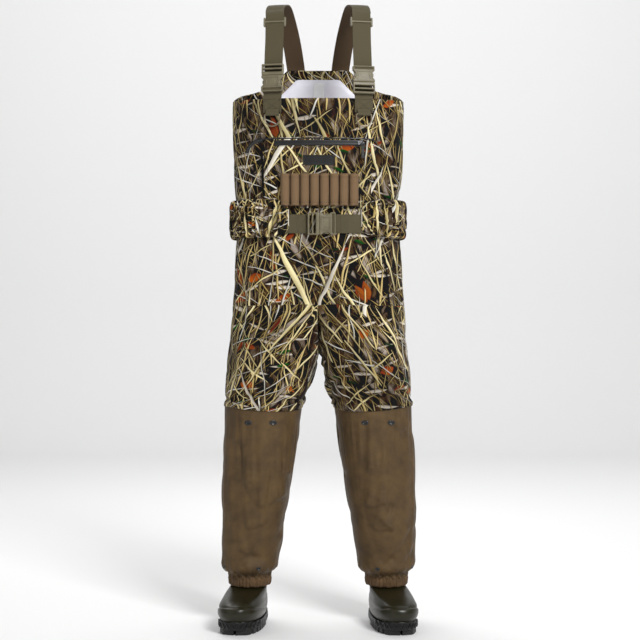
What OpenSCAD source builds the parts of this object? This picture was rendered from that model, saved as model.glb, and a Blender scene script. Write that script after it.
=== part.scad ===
// Chest waders: a bib-front wading suit with boots, gaiters, belt and shoulder straps.
// X is to the viewer's right, the front faces -Y, Z is up, and the soles stand on Z = 0.

/* [Body] */
// Half of the chest width, side seam to side seam
chest_half_w = 229; // [215:1:240]
// Half of the body depth, front to back
chest_half_d = 131; // [124:1:136]
// Thickness of the waterproof cloth with its lining
cloth_t = 4; // [3:0.5:5]
// Height of the front bib's top edge
front_top = 1383; // [1375:1:1390]
// Height of the top corners over the side seams
side_top = 1388; // [1384:1:1400]
// Height of the back bib's top edge
back_top = 1494; // [1480:1:1500]

/* [Legs] */
// Height at which the two legs part
crotch_z = 850; // [840:1:860]
// Height of the seam between the camouflage leg and the brown gaiter
knee_z = 580; // [570:1:590]
// Height of the cuff's top edge
cuff_top = 129; // [125:1:135]
// Height of the gathered cuff
cuff_h = 27; // [24:1:30]

/* [Straps] */
// Width of the strap and belt webbing
webbing_w = 49; // [44:1:50]
// Thickness of the webbing
webbing_t = 2.6; // [2:0.2:3]
// Lean of the front strap runs, backwards from vertical
strap_lean = 6; // [4:1:8]
// Distance from the middle to each front strap
strap_x = 119; // [114:1:122]

/* [Hardware] */
// Width of a side-release buckle
buckle_w = 58; // [56:1:60]
// Thickness of a side-release buckle
buckle_t = 12; // [11:0.5:13]
// Radius of the wire of a D-ring
ring_wire_r = 2.1; // [1.8:0.1:2.4]
// Number of shell loops on the pocket
shell_count = 8; // [4:1:8]

/* [Boots] */
// Angle at which each boot turns out
toe_out = 9; // [5:1:12]
// Thickness of the rubber upper
upper_t = 5; // [4:0.5:6]

/* [Hidden] */

body_y = 22;
body_power = 2.6;
leg_power = 2.2;
gap = 0.5;
seam_gap = 1.5;
yoke_z = 1344;
camo = "#6f6648";
webbing_colour = "#6f6755";
plastic_colour = "#6b6553";
gaiter_colour = "#574831";
rubber_colour = "#2f2c1f";

// Height against half width and half depth of the body, relative to the chest
body_half_w = [[850, 2], [915, -3], [1007, -9], [1130, -9], [1221, -4], [1344, 0], [1500, -4]];
body_half_d = [[850, 7], [915, 9], [1007, -1], [1130, -4], [1221, 0], [1344, 1], [1500, -3]];
// Height against the middle, half width, half depth and Y of the middle of the right leg
leg_x = [[129, 183], [193, 183], [287, 176], [382, 168], [477, 157], [575, 147], [670, 131], [733, 122],
         [850, 115]];
leg_w = [[129, 53], [163, 68], [193, 76], [287, 86], [382, 94], [477, 100], [575, 104], [670, 115],
         [733, 116], [850, 114]];
leg_d = [[129, 70], [163, 76], [193, 82], [287, 90], [382, 98], [477, 104], [575, 110], [670, 124],
         [733, 130], [850, 138]];
leg_y = [[129, 38], [287, 32], [477, 26], [575, 22], [850, 22]];

// ---------- points on the body and the legs ----------

function power(c, p) = sign(c) * pow(abs(c), p);
function half_w(z) = chest_half_w + lookup(z, body_half_w);
function half_d(z) = chest_half_d + lookup(z, body_half_d);

// A point at angle t round the body, 0 in front and 90 at the right, d outside the cloth
function body_pt(t, z, d) = [
    (half_w(z) + d) * power(sin(t), 2 / body_power),
    body_y - (half_d(z) + d) * power(cos(t), 2 / body_power),
    z
];

// Y of the front of the body at x
function front_y(x, z, d) =
    body_y - (half_d(z) + d) * pow(1 - pow(abs(x) / (half_w(z) + d), body_power), 1 / body_power);

// Height of the garment's top edge at angle t
function top_edge(t) = let (s = abs(t > 180 ? 360 - t : t))
    lookup(s, [[0, front_top], [50, front_top], [80, side_top], [100, side_top], [135, side_top + 32],
               [149, side_top + 52], [157, side_top + 74], [163, back_top], [180, back_top]]);

function smooth(s) = let (c = min(1, max(0, s))) c * c * (3 - 2 * c);

// A point at angle u round the right leg, 0 in front and 90 at the outside
function leg_pt(u, z, d) =
    let (
        w = smooth((z - 700) / (crotch_z - 700)),
        top_x = sin(u) > 0 ? (half_w(crotch_z) + d) * power(sin(u), 2 / body_power) : 0,
        top_y = body_y - (half_d(crotch_z) + d) * power(cos(u), (sin(u) > 0 ? 2 : body_power) / body_power),
        low_x = lookup(z, leg_x) + (lookup(z, leg_w) + d) * power(sin(u), 2 / leg_power),
        low_y = lookup(z, leg_y) - (lookup(z, leg_d) + d) * power(cos(u), 2 / leg_power)
    )
    [w * max(top_x, seam_gap - d) + (1 - w) * low_x, w * top_y + (1 - w) * low_y, z];

// ---------- sheets: two matching grids of points closed into one solid ----------

function two(a, b, c, d) = [[a, b, c], [a, c, d]];

// Rows run upwards and columns to the right, seen from outside; wrap joins the last column to the first
module sheet(outer, inner, wrap = false) {
    rows = len(outer);
    cols = len(outer[0]);
    total = rows * cols;
    last = wrap ? cols - 1 : cols - 2;
    o = [for (i = [0 : rows - 1]) [for (j = [0 : cols]) i * cols + j % cols]];
    faces = concat(
        [for (i = [0 : rows - 2], j = [0 : last]) each two(o[i][j], o[i + 1][j], o[i + 1][j + 1], o[i][j + 1])],
        [for (i = [0 : rows - 2], j = [0 : last])
            each two(total + o[i][j], total + o[i][j + 1], total + o[i + 1][j + 1], total + o[i + 1][j])],
        [for (j = [0 : last]) each two(o[0][j], o[0][j + 1], total + o[0][j + 1], total + o[0][j])],
        [for (j = [0 : last])
            each two(o[rows - 1][j + 1], o[rows - 1][j], total + o[rows - 1][j], total + o[rows - 1][j + 1])],
        wrap ? [] : [for (i = [0 : rows - 2])
            each two(o[i + 1][0], o[i][0], total + o[i][0], total + o[i + 1][0])],
        wrap ? [] : [for (i = [0 : rows - 2])
            each two(o[i][cols - 1], o[i + 1][cols - 1], total + o[i + 1][cols - 1], total + o[i][cols - 1])]
    );
    polyhedron(points = concat([for (row = outer) each row], [for (row = inner) each row]), faces = faces);
}

// A panel of the body from angle t0 to t1, from z0 up to z1 or to the top edge
module body_panel(t0, t1, z0, z1, d0, d1, cols = 20, rows = 5, to_edge = false) {
    angles = [for (j = [0 : cols]) t0 + (t1 - t0) * j / cols];
    function level(i, t) = z0 + ((to_edge ? top_edge((t + 360) % 360) - z1 : z1) - z0) * i / rows;
    outer = [for (i = [0 : rows]) [for (t = angles) body_pt(t, level(i, t), d1)]];
    inner = [for (i = [0 : rows]) [for (t = angles) body_pt(t, level(i, t), d0)]];
    sheet(outer, inner);
}

// A patch on the front of the body between two X and two Z values
module front_patch(x0, x1, z0, z1, d0, d1, cols = 8, rows = 1) {
    xs = [for (j = [0 : cols]) x0 + (x1 - x0) * j / cols];
    zs = [for (i = [0 : rows]) z0 + (z1 - z0) * i / rows];
    sheet([for (z = zs) [for (x = xs) [x, front_y(x, z, d1), z]]],
          [for (z = zs) [for (x = xs) [x, front_y(x, z, d0), z]]]);
}

// A stretch of the right leg between two angles, or the whole way round
module leg_shell(u0, u1, z0, z1, d0, d1, cols, rows, wrap = false) {
    step = (u1 - u0) / cols;
    angles = [for (j = [0 : wrap ? cols - 1 : cols]) u0 + j * step];
    zs = [for (i = [0 : rows]) z0 + (z1 - z0) * i / rows];
    sheet([for (z = zs) [for (u = angles) leg_pt(u, z, d1)]],
          [for (z = zs) [for (u = angles) leg_pt(u, z, d0)]], wrap);
}

module on_side(left) {
    if (left) mirror([1, 0, 0]) children();
    else children();
}

// ---------- torso ----------

panel_top = yoke_z - gap / 2;

module front_panel() {
    color(camo) body_panel(-90, 90, crotch_z, panel_top, -cloth_t, 0, cols = 24, rows = 9);
}

module back_panel() {
    color(camo) body_panel(90, 270, crotch_z, panel_top, -cloth_t, 0, cols = 24, rows = 9);
}

module front_yoke() {
    color(camo) body_panel(-90, 90, yoke_z, 0, -cloth_t, 0, cols = 24, rows = 1, to_edge = true);
}

module back_bib() {
    color(camo) body_panel(90, 270, yoke_z, 0, -cloth_t, 0, cols = 40, rows = 3, to_edge = true);
}

facing_h = 30;
lining_d = -cloth_t - gap;

// The pale lining inside the back bib, below the facing
module torso_lining() {
    color("#d8d6de") body_panel(106, 254, yoke_z - 140, facing_h + gap, lining_d - 1, lining_d,
        cols = 36, rows = 3, to_edge = true);
}

// The camouflage strip that faces the inside of the back bib's edge
module bib_facing() {
    angles = [for (j = [0 : 36]) 106 + 148 * j / 36];
    levels = [facing_h, 0];
    color(camo) sheet(
        [for (v = levels) [for (t = angles) body_pt(t, top_edge(t) - v, lining_d)]],
        [for (v = levels) [for (t = angles) body_pt(t, top_edge(t) - v, lining_d - 1.5)]]);
}

module care_label() {
    label_y = body_y + half_d(1430) + lining_d - 1 - gap;
    color("white") translate([-14, label_y - 1.6, 1404]) cube([30, 0.8, 55]);
}

// ---------- legs ----------

module thigh_front(left) {
    color(camo) on_side(left) leg_shell(-90, 90, knee_z, crotch_z, -cloth_t, 0, 16, 6);
}

module thigh_back(left) {
    color(camo) on_side(left) leg_shell(90, 270, knee_z, crotch_z, -cloth_t, 0, 16, 6);
}

module lower_leg(left) {
    color(gaiter_colour) on_side(left)
        leg_shell(0, 360, cuff_top, knee_z, -cloth_t, 0, 28, 9, wrap = true);
}

// The gathered cuff that grips the boot's shaft
module ankle_cuff(left) {
    base = cuff_top - cuff_h;
    mid = [lookup(cuff_top, leg_x), lookup(cuff_top, leg_y)];
    half = [lookup(cuff_top, leg_w), lookup(cuff_top, leg_d)];
    function ring(z, d) = [for (j = [0 : 27]) let (u = j * 360 / 28)
        [mid.x + (half.x + d) * sin(u), mid.y - (half.y + d) * cos(u), z]];
    color("#5a4430") on_side(left)
        sheet([ring(base, 0), ring(base + cuff_h * 0.3, 3), ring(cuff_top - cuff_h * 0.3, 3), ring(cuff_top, 0)],
              [for (z = [base, base + cuff_h * 0.3, cuff_top - cuff_h * 0.3, cuff_top]) ring(z, -1)], wrap = true);
}

// Oval eyelets with a hole, r high from the middle and stretched sideways, at angles u round the leg
module eyelets(left, z, r, stretch, angles) {
    color("#1d1c1a") on_side(left) for (u = angles) {
        along = leg_pt(u + 2, z, 0) - leg_pt(u - 2, z, 0);
        up = leg_pt(u, z + 5, 0) - leg_pt(u, z - 5, 0);
        turn = atan2(along.y, along.x);
        tilt = atan2(up.x * sin(turn) - up.y * cos(turn), up.z);
        translate(leg_pt(u, z, 2 * gap)) rotate([90 + tilt, 0, turn]) difference() {
            scale([stretch, 1, 1]) cylinder(h = 1.6, r = r, $fn = 24);
            translate([0, 0, -1]) cylinder(h = 4, r = r * 0.45, $fn = 24);
        }
    }
}

// ---------- chest pocket ----------

pocket_x0 = -141;
pocket_x1 = 138;
pocket_z0 = 1098;
pocket_z1 = 1277;
zip_z = 1267;
zip_r = 708;
zip_y = body_y - chest_half_d - 5 + zip_r;
zip_reach = 9;
slider_angle = 8.9;

module chest_pocket() {
    color(camo) front_patch(pocket_x0, pocket_x1, pocket_z0, pocket_z1, gap, 2, cols = 20, rows = 4);
}

// The zip band lies on a long arc across the pocket's mouth
module chest_zip_tape() {
    color("#2a2a2e") translate([0, zip_y, zip_z - 6.5]) rotate([0, 0, -90 - zip_reach])
        rotate_extrude(angle = 2 * zip_reach + 0.6, $fn = 720) translate([zip_r - 1, 0]) square([1.2, 13]);
}

// Sits a piece on the zip's arc at angle a from the middle
module on_zip(a, d) {
    translate([0, zip_y, 0]) rotate([0, 0, a]) translate([0, -zip_r - d, 0]) children();
}

module zip_slider() {
    color("#3a3a3c") on_zip(slider_angle, gap) translate([0, 0, zip_z]) difference() {
        union() {
            rotate([90, 0, 0]) linear_extrude(height = 3) polygon([[-7, -5], [7, -3], [7, 3], [-7, 5]]);
            translate([4, -8.2, -4]) cube([3, 5.4, 8]);
        }
        translate([-20, -6.2, 0]) rotate([0, 90, 0]) cylinder(h = 40, r = 1.5, $fn = 24);
    }
}

pull_pin_r = 1.2;

// The pull tab hangs from its pin through the slider's lug
module zip_pull() {
    color("#17171a") on_zip(slider_angle, gap) translate([5.5, -6.2, zip_z]) {
        rotate([0, 90, 0]) cylinder(h = 10, r = pull_pin_r, center = true, $fn = 24);
        for (x = [-5.2, 2.4]) translate([x, -1.2, -9]) cube([2.8, 2.4, 10.2]);
        translate([-5.2, -1.2, -40]) cube([10.4, 2.4, 31]);
    }
}

// The glossy edge of the hand-warmer pocket, curving down beside the chest pocket
module handwarmer_piping() {
    route = [[-144, 1277], [-158, 1275], [-171, 1268], [-181, 1257], [-187, 1243]];
    half = 4.5;
    function edge(d, s) = [for (i = [0 : 4])
        let (a = route[max(i - 1, 0)], b = route[min(i + 1, 4)], n = [a.y - b.y, b.x - a.x] / norm(b - a),
             p = route[i] + s * half * n) [p.x, front_y(p.x, p.y, d), p.y]];
    color("#141417") sheet([edge(3.5, 1), edge(3.5, -1)], [edge(gap, 1), edge(gap, -1)]);
}

loops_x = 3.5;
loops_w = 203;
loops_z0 = 1104;
loops_z1 = 1186;
loop_pitch = loops_w / shell_count;
backing_d = 3.5;

module shell_loop_backing() {
    color("#6b5646") front_patch(loops_x - loops_w / 2, loops_x + loops_w / 2, loops_z0, loops_z1,
        2 + gap, backing_d, cols = 16);
}

// One elastic loop: an arch over a shell, open above and below
module shell_loop(x) {
    y = front_y(x, loops_z1, backing_d + gap);
    turn = atan2(front_y(x + 5, 1140, 0) - front_y(x - 5, 1140, 0), 10);
    r = loop_pitch / 2 - 0.6;
    wall = 1.4;
    translate([x, y, loops_z0]) rotate([0, 0, turn]) difference() {
        linear_extrude(height = loops_z1 - loops_z0) union() {
            translate([0, -r * 0.55]) circle(r = r, $fn = 48);
            translate([-r, -r * 0.55]) square([2 * r, r * 0.55]);
        }
        translate([0, -r * 0.55, -1]) cylinder(h = 100, r = r - wall, $fn = 48);
        translate([-r + wall, -r * 0.55, -1]) cube([2 * (r - wall), r * 0.55 - 0.8, 100]);
        translate([-50, 0, -1]) cube([100, 50, 100]);
    }
}

module shell_loops() {
    color("#7b6553") for (i = [0 : shell_count - 1])
        shell_loop(loops_x - loops_w / 2 + (i + 0.5) * loop_pitch);
}

module name_patch() {
    color("#1b1b1c") front_patch(-39, 43, 1209, 1235, 2 + gap, 4.2, cols = 6);
}

// ---------- side-release buckle ----------
// Flat in XZ with its front towards -Y: the fixed end is at z = 0 and the ladder end at the top.

female_l = 42;
male_l = 30;
cavity_x = 24.5;
prong_x = 21.2;
prong_root_z = 39.6;

module flat(t) {
    rotate([90, 0, 0]) linear_extrude(height = t, center = true) children();
}

module buckle_female() {
    color(plastic_colour) difference() {
        flat(buckle_t) difference() {
            translate([-buckle_w / 2, 0]) square([buckle_w, female_l]);
            translate([-webbing_w / 2 - 0.5, 3.5]) square([webbing_w + 1, 5]);
            for (s = [-1, 1]) translate([s * 35, 24]) circle(r = 13, $fn = 64);
        }
        translate([-cavity_x, -3.6, 12]) cube([2 * cavity_x, 7.2, female_l]);
    }
}

module buckle_male() {
    color(plastic_colour) difference() {
        union() {
            translate([0, 0, female_l + 0.4]) flat(buckle_t - 2) difference() {
                translate([-buckle_w / 2, 0]) square([buckle_w, male_l]);
                for (z = [9, 19]) translate([-webbing_w / 2 - 0.5, z]) square([webbing_w + 1, 6]);
            }
            translate([-9, -3, 18]) cube([18, 6, female_l - 17]);
        }
    }
}

// One flexing arm with its release head, at the +X side
module prong() {
    color(plastic_colour) {
        translate([prong_x, 3, prong_root_z]) rotate([90, 0, 0]) cylinder(h = 6, r = 2, $fn = 32);
        translate([prong_x - 1.7, -3, 20]) cube([3.4, 6, prong_root_z - 20]);
        translate([prong_x - 1.7, -3, 18]) cube([6.5, 6, 11]);
    }
}

// ---------- shoulder straps ----------
// Worked out for the right strap; the left one is its mirror image.

strap_yaw = 13;
anchor_z0 = 1341;
frame_z = 1400;
web_y = buckle_t / 2 + webbing_t / 2 + 0.3;
frame_y = front_y(strap_x, front_top, 0) - web_y - 3;

// A point of the webbing's middle at a height s up the leaning frame, with the webbing's yaw
function web_pt(s) = let (y = web_y * cos(strap_lean) + s * sin(strap_lean)) [
    strap_x - sin(strap_yaw) * y, frame_y + cos(strap_yaw) * y,
    frame_z - web_y * sin(strap_lean) + s * cos(strap_lean), strap_yaw
];

// Flat webbing along a route of X, Y, Z and yaw
module webbing(route) {
    half = webbing_w / 2;
    count = len(route);
    function edge(off) = [for (i = [0 : count - 1])
        let (p = route[i], a = route[max(i - 1, 0)], b = route[min(i + 1, count - 1)],
             reach = norm([b.y - a.y, b.z - a.z]), ny = (a.z - b.z) / reach, nz = (b.y - a.y) / reach,
             c = cos(p[3]), s = sin(p[3]))
        [for (e = [-1, 1]) [p.x + e * half * c - off * ny * s, p.y + e * half * s + off * ny * c, p.z + off * nz]]];
    sheet(edge(webbing_t / 2), edge(-webbing_t / 2));
}

// The leaning frame of the buckle and the straight front strap run
module strap_frame() {
    translate([strap_x, frame_y, frame_z]) rotate([0, 0, strap_yaw]) rotate([-strap_lean, 0, 0]) children();
}

// Webbing from the bib up behind the buckle's lower bar, with the loop that holds the D-ring
module strap_anchor(left) {
    low_y = front_y(strap_x, front_top, gap + webbing_t / 2 + 0.6);
    loop_r = ring_wire_r + 2.4;
    color(webbing_colour) on_side(left) {
        webbing([[strap_x, low_y, anchor_z0 + 7, strap_yaw], [strap_x, low_y, front_top, strap_yaw], web_pt(6)]);
        ring_frame() difference() {
            union() {
                rotate([0, 90, 0]) cylinder(h = 34, r = loop_r, center = true, $fn = 48);
                translate([-17, 0, 0]) cube([34, loop_r + 1, 12]);
            }
            rotate([0, 90, 0]) cylinder(h = 60, r = ring_wire_r + 0.3, center = true, $fn = 48);
        }
    }
}

// The middle of the D-ring's bar
module ring_frame() {
    translate([strap_x, front_y(strap_x, anchor_z0, 0) - 8.2, anchor_z0]) rotate([0, 0, strap_yaw]) children();
}

module d_ring(left) {
    reach = 20;
    drop = 11;
    color("#77726a") on_side(left) ring_frame() {
        rotate([0, 90, 0]) cylinder(h = 2 * reach, r = ring_wire_r, center = true, $fn = 32);
        for (s = [-1, 1]) {
            translate([s * reach, 0, 0]) sphere(r = ring_wire_r, $fn = 32);
            translate([s * reach, 0, -drop]) cylinder(h = drop, r = ring_wire_r, $fn = 32);
        }
        translate([0, 0, -drop]) rotate([90, 180, 0]) rotate_extrude(angle = 180, $fn = 64)
            translate([reach, 0]) circle(r = ring_wire_r, $fn = 32);
    }
}

// Route of the strap from the buckle over the shoulder to the back bib
strap_route = [
    web_pt(64), web_pt(200),
    [113, -65, 1618, 13], [108, -48, 1630, 12], [102, -22, 1636, 10], [96, 8, 1636, 8], [89, 42, 1624, 6],
    [80, 78, 1596, 4], [70, 115, 1552, 2], [63, 146, 1510, 0], [61, 154.5, 1492, 0], [60, 155, 1476, 0],
    [60, 155, 1400, 0]
];

module shoulder_strap(left) {
    color(webbing_colour) on_side(left) webbing(strap_route);
}

// A slide adjuster: end bars behind the strap and a bar across its front
module adjuster(left) {
    w = 59;
    h = 24;
    inner = webbing_w / 2 + 0.6;
    back = webbing_t / 2 + 0.5;
    color(plastic_colour) on_side(left) strap_frame() translate([0, web_y, 186]) {
        for (s = [0, 1]) mirror([s, 0, 0]) translate([inner, -4.4, -h / 2]) cube([w / 2 - inner, 8.8, h]);
        for (z = [-h / 2 + 2, h / 2 - 2]) translate([-inner, back + 1.6, z])
            rotate([0, 90, 0]) cylinder(h = 2 * inner, r = 1.6, $fn = 32);
        translate([-inner, -back - 2.2, 0]) rotate([0, 90, 0]) cylinder(h = 2 * inner, r = 2.2, $fn = 32);
    }
}

// The left buckle has its ladder end on top; the right one is turned end for end
module strap_buckle(left) {
    on_side(left) strap_frame() {
        if (left) children();
        else translate([0, 0, female_l + 0.4 + male_l - 6]) rotate([0, 180, 0]) children();
    }
}

// ---------- belt ----------

belt_z = 1057;
belt_d = 2;
sleeve_z0 = 1021;
sleeve_z1 = 1124;
buckle_x = 9;

// The webbing goes round the waist and ends at the two halves of the buckle
module belt_webbing() {
    half = webbing_w / 2;
    start = asin(pow(40 / (half_w(belt_z) + belt_d), body_power / 2));
    finish = asin(pow(22 / (half_w(belt_z) + belt_d), body_power / 2));
    angles = [for (j = [0 : 44]) start + (360 - start - finish) * j / 44];
    color(webbing_colour) sheet(
        [for (z = [-half, half]) [for (t = angles) body_pt(t, belt_z + z, belt_d + webbing_t)]],
        [for (z = [-half, half]) [for (t = angles) body_pt(t, belt_z + z, belt_d)]]);
}

// A padded, gathered sleeve over the belt, from x_front round the side to the middle of the back
module belt_sleeve(x_front, left) {
    inner = belt_d + webbing_t + gap;
    start = asin(pow(x_front / (half_w(belt_z) + inner), body_power / 2));
    cols = 24;
    levels = [-1, -0.76, 0, 0.76, 1];
    swell = [5, 13, 17, 13, 5];
    middle = (sleeve_z0 + sleeve_z1) / 2;
    angles = [for (j = [0 : cols]) start + (178 - start) * j / cols];
    function fullness(j) = min(1, 0.45 + j * 0.28, 0.45 + (cols - j) * 0.28);
    function half_h(j) = (sleeve_z1 - sleeve_z0) / 2 * lookup(j, [[0, 0.4], [1, 0.54], [2, 0.84], [3, 1]]);
    color("#4c4636") on_side(left) sheet(
        [for (i = [0 : 4]) [for (j = [0 : cols])
            body_pt(angles[j], middle + half_h(j) * levels[i], inner + swell[i] * fullness(j))]],
        [for (i = [0 : 4]) [for (j = [0 : cols]) body_pt(angles[j], middle + half_h(j) * levels[i], inner)]]);
}

module belt_buckle() {
    reach = (female_l + 0.4 + male_l) / 2;
    translate([buckle_x + reach, front_y(0, belt_z, belt_d + webbing_t + gap + buckle_t / 2), belt_z])
        rotate([0, -90, 0]) children();
}

// ---------- boots ----------
// Height, heel Y, toe Y and half width of each ring, about the middle of the ankle

boot_x = 183;
boot_y = 40;
sole_top = 34;
boot_rings = [
    [34, 72, -200, 49], [50, 76, -211, 55], [66, 75, -208, 56], [78, 72, -186, 54], [88, 68, -138, 52],
    [96, 64, -84, 49], [102, 60, -58, 46.5], [165, 54, -50, 44]
];

function boot_ring(r, d) = let (mid = (r[1] + r[2]) / 2, reach = (r[1] - r[2]) / 2, taper = r.x < 95 ? 0.13 : 0)
    [for (j = [0 : 31]) let (u = j * 360 / 32, c = power(cos(u), 0.85))
        [(r[3] + d) * power(sin(u), 0.85) * (1 + taper * c), mid - (reach + d) * c, r.x]];

module on_boot(left) {
    on_side(left) translate([boot_x, boot_y, 0]) rotate([0, 0, toe_out]) children();
}

module boot_upper(left) {
    color(rubber_colour) on_boot(left)
        sheet([for (r = boot_rings) boot_ring(r, 0)], [for (r = boot_rings) boot_ring(r, -upper_t)], wrap = true);
}

module sole_outline(d) {
    polygon([for (p = boot_ring([0, 74, -202, 53], d)) [p.x, p.y]]);
}

module boot_footbed(left) {
    color("#8a8578") on_boot(left) translate([0, 0, sole_top + 0.2]) linear_extrude(height = 5)
        sole_outline(-upper_t - 5.5);
}

// The outsole: a plate with cross lugs, and a waist between the heel and the tread
module boot_outsole(left) {
    color("#161614") on_boot(left) {
        translate([0, 0, 14]) linear_extrude(height = sole_top - 14 - 0.1) sole_outline(2);
        intersection() {
            linear_extrude(height = 14.2) sole_outline(0);
            for (y = [-196 : 22 : -64], s = [-1, 1])
                translate([s * 30 - 26, y, 0]) cube([52, 13, 16]);
        }
        intersection() {
            linear_extrude(height = 14.2) sole_outline(0);
            for (y = [14 : 20 : 74]) translate([-70, y, 0]) cube([140, 13, 16]);
        }
    }
}

// ---------- the whole part ----------

front_panel();
front_yoke();
back_panel();
back_bib();
torso_lining();
bib_facing();
care_label();
thigh_front(true);  // left_thigh_front
thigh_back(true);  // left_thigh_back
thigh_front(false);  // right_thigh_front
thigh_back(false);  // right_thigh_back
lower_leg(true);  // left_lower_leg
lower_leg(false);  // right_lower_leg
ankle_cuff(true);  // left_ankle_cuff
ankle_cuff(false);  // right_ankle_cuff
eyelets(true, 540, 6.5, 1.65, [-17, 16]);  // left_knee_eyelets
eyelets(false, 540, 6.5, 1.65, [-14, 21]);  // right_knee_eyelets
eyelets(true, 157, 5, 1.3, [-75, -18, 57]);  // left_ankle_eyelets
eyelets(false, 157, 5, 1.3, [-75, -18, 57]);  // right_ankle_eyelets
chest_pocket();
chest_zip_tape();
zip_slider();
zip_pull();
handwarmer_piping();
shell_loop_backing();
shell_loops();
name_patch();
belt_webbing();
belt_sleeve(75, true);  // left_belt_sleeve
belt_sleeve(111, false);  // right_belt_sleeve
belt_buckle() buckle_female();  // belt_buckle_female
belt_buckle() buckle_male();  // belt_buckle_male
belt_buckle() prong();  // belt_prong_upper
belt_buckle() mirror([1, 0, 0]) prong();  // belt_prong_lower
strap_anchor(true);  // left_strap_anchor
shoulder_strap(true);  // left_shoulder_strap
adjuster(true);  // left_adjuster
d_ring(true);  // left_d_ring
strap_buckle(true) buckle_female();  // left_buckle_female
strap_buckle(true) buckle_male();  // left_buckle_male
strap_buckle(true) prong();  // left_prong_outer
strap_buckle(true) mirror([1, 0, 0]) prong();  // left_prong_inner
strap_anchor(false);  // right_strap_anchor
shoulder_strap(false);  // right_shoulder_strap
adjuster(false);  // right_adjuster
d_ring(false);  // right_d_ring
strap_buckle(false) buckle_female();  // right_buckle_female
strap_buckle(false) buckle_male();  // right_buckle_male
strap_buckle(false) mirror([1, 0, 0]) prong();  // right_prong_outer
strap_buckle(false) prong();  // right_prong_inner
boot_upper(true);  // left_boot_upper
boot_footbed(true);  // left_boot_footbed
boot_outsole(true);  // left_boot_outsole
boot_upper(false);  // right_boot_upper
boot_footbed(false);  // right_boot_footbed
boot_outsole(false);  // right_boot_outsole
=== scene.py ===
"""Chest waders: the looks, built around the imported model. Everything is in metres."""
import math

import bpy
import bmesh
import numpy as np
from mathutils import Matrix, Vector
from mathutils.bvhtree import BVHTree


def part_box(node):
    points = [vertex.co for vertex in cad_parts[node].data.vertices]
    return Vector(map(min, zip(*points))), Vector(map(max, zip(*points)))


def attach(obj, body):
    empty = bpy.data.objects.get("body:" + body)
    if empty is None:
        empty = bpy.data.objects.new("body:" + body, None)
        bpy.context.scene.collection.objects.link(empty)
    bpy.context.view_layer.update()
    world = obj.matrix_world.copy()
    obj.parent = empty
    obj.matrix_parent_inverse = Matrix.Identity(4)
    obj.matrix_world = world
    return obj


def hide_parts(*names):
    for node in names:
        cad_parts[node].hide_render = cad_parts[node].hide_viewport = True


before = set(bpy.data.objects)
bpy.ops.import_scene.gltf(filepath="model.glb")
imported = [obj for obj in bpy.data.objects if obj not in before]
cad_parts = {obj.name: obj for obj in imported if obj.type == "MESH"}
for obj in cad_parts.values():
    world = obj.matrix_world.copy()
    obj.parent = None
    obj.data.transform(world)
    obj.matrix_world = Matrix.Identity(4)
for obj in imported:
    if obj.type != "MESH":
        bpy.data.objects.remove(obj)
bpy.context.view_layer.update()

GARMENT = "garment"
MM = 0.001

# ---------- camera, lights and floor ----------

LENS_FOV = 2 * math.atan(0.204)     # the photograph is 1.63 m high at the boots' toes
EYE_Y = -4.17
EYE_Z = 0.808
PALE = (0.86, 0.86, 0.86)


def plain_material(name, colour, roughness=0.9):
    mat = bpy.data.materials.new(name)
    mat.use_nodes = True
    shader = mat.node_tree.nodes["Principled BSDF"]
    shader.inputs["Base Color"].default_value = (*colour, 1)
    shader.inputs["Roughness"].default_value = roughness
    return mat


def area_light(name, place, target, size, power):
    data = bpy.data.lights.new(name, "AREA")
    data.shape = "RECTANGLE"
    data.size, data.size_y = size
    data.energy = power
    light = bpy.data.objects.new(name, data)
    bpy.context.collection.objects.link(light)
    light.location = place
    light.rotation_euler = (Vector(target) - Vector(place)).to_track_quat("-Z", "Y").to_euler()


def make_stage():
    cam_data = bpy.data.cameras.new("camera")
    cam_data.sensor_fit = "HORIZONTAL"
    cam_data.angle = LENS_FOV
    camera = bpy.data.objects.new("camera", cam_data)
    bpy.context.collection.objects.link(camera)
    camera.location = (0.005, EYE_Y, EYE_Z)
    camera.rotation_euler = (math.pi / 2, 0, 0)
    bpy.context.scene.camera = camera

    mesh = bpy.data.meshes.new("floor")
    depth, rise, bend, half = 5.2, 7.0, 1.0, 9.0
    side = [(-9.0, 0.0), (depth, 0.0)]
    side += [(depth + bend * math.sin(a), bend * (1 - math.cos(a))) for a in np.linspace(0.1, math.pi / 2, 12)]
    side += [(depth + bend, rise)]
    verts = [(x, y, z - 0.0005) for y, z in side for x in (-half, half)]
    faces = [(2 * i, 2 * i + 1, 2 * i + 3, 2 * i + 2) for i in range(len(side) - 1)]
    mesh.from_pydata(verts, [], faces)
    mesh.polygons.foreach_set("use_smooth", [True] * len(faces))
    floor = bpy.data.objects.new("floor", mesh)
    bpy.context.collection.objects.link(floor)
    mesh.materials.append(plain_material("studio_floor", PALE))

    world = bpy.data.worlds.new("studio")
    world.use_nodes = True
    world.node_tree.nodes["Background"].inputs[0].default_value = (1, 1, 1, 1)
    world.node_tree.nodes["Background"].inputs[1].default_value = 0.33
    bpy.context.scene.world = world
    area_light("key", (1.5, -3.2, 3.0), (0, 0, 0.9), (1.2, 1.2), 150)
    area_light("fill", (-2.6, -2.6, 1.5), (0, 0, 0.8), (1.6, 1.6), 7)
    area_light("rim", (-0.6, 1.9, 3.2), (0, 0, 1.1), (2.0, 2.0), 36)
    area_light("backdrop", (0, 1.6, 5.0), (0, 6.2, 1.6), (6.0, 2.0), 170)
    bpy.context.scene.view_settings.view_transform = "Standard"


# ---------- small numeric helpers ----------

def table(z, rows):
    """A table of (height, value) rows in mm, looked up in metres and rounded a little at its corners."""
    keys = [r[0] * MM for r in rows]
    values = [r[1] * MM for r in rows]
    z = np.asarray(z, float)
    return sum(np.interp(z + o, keys, values) for o in np.linspace(-0.03, 0.03, 7)) / 7


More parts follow.
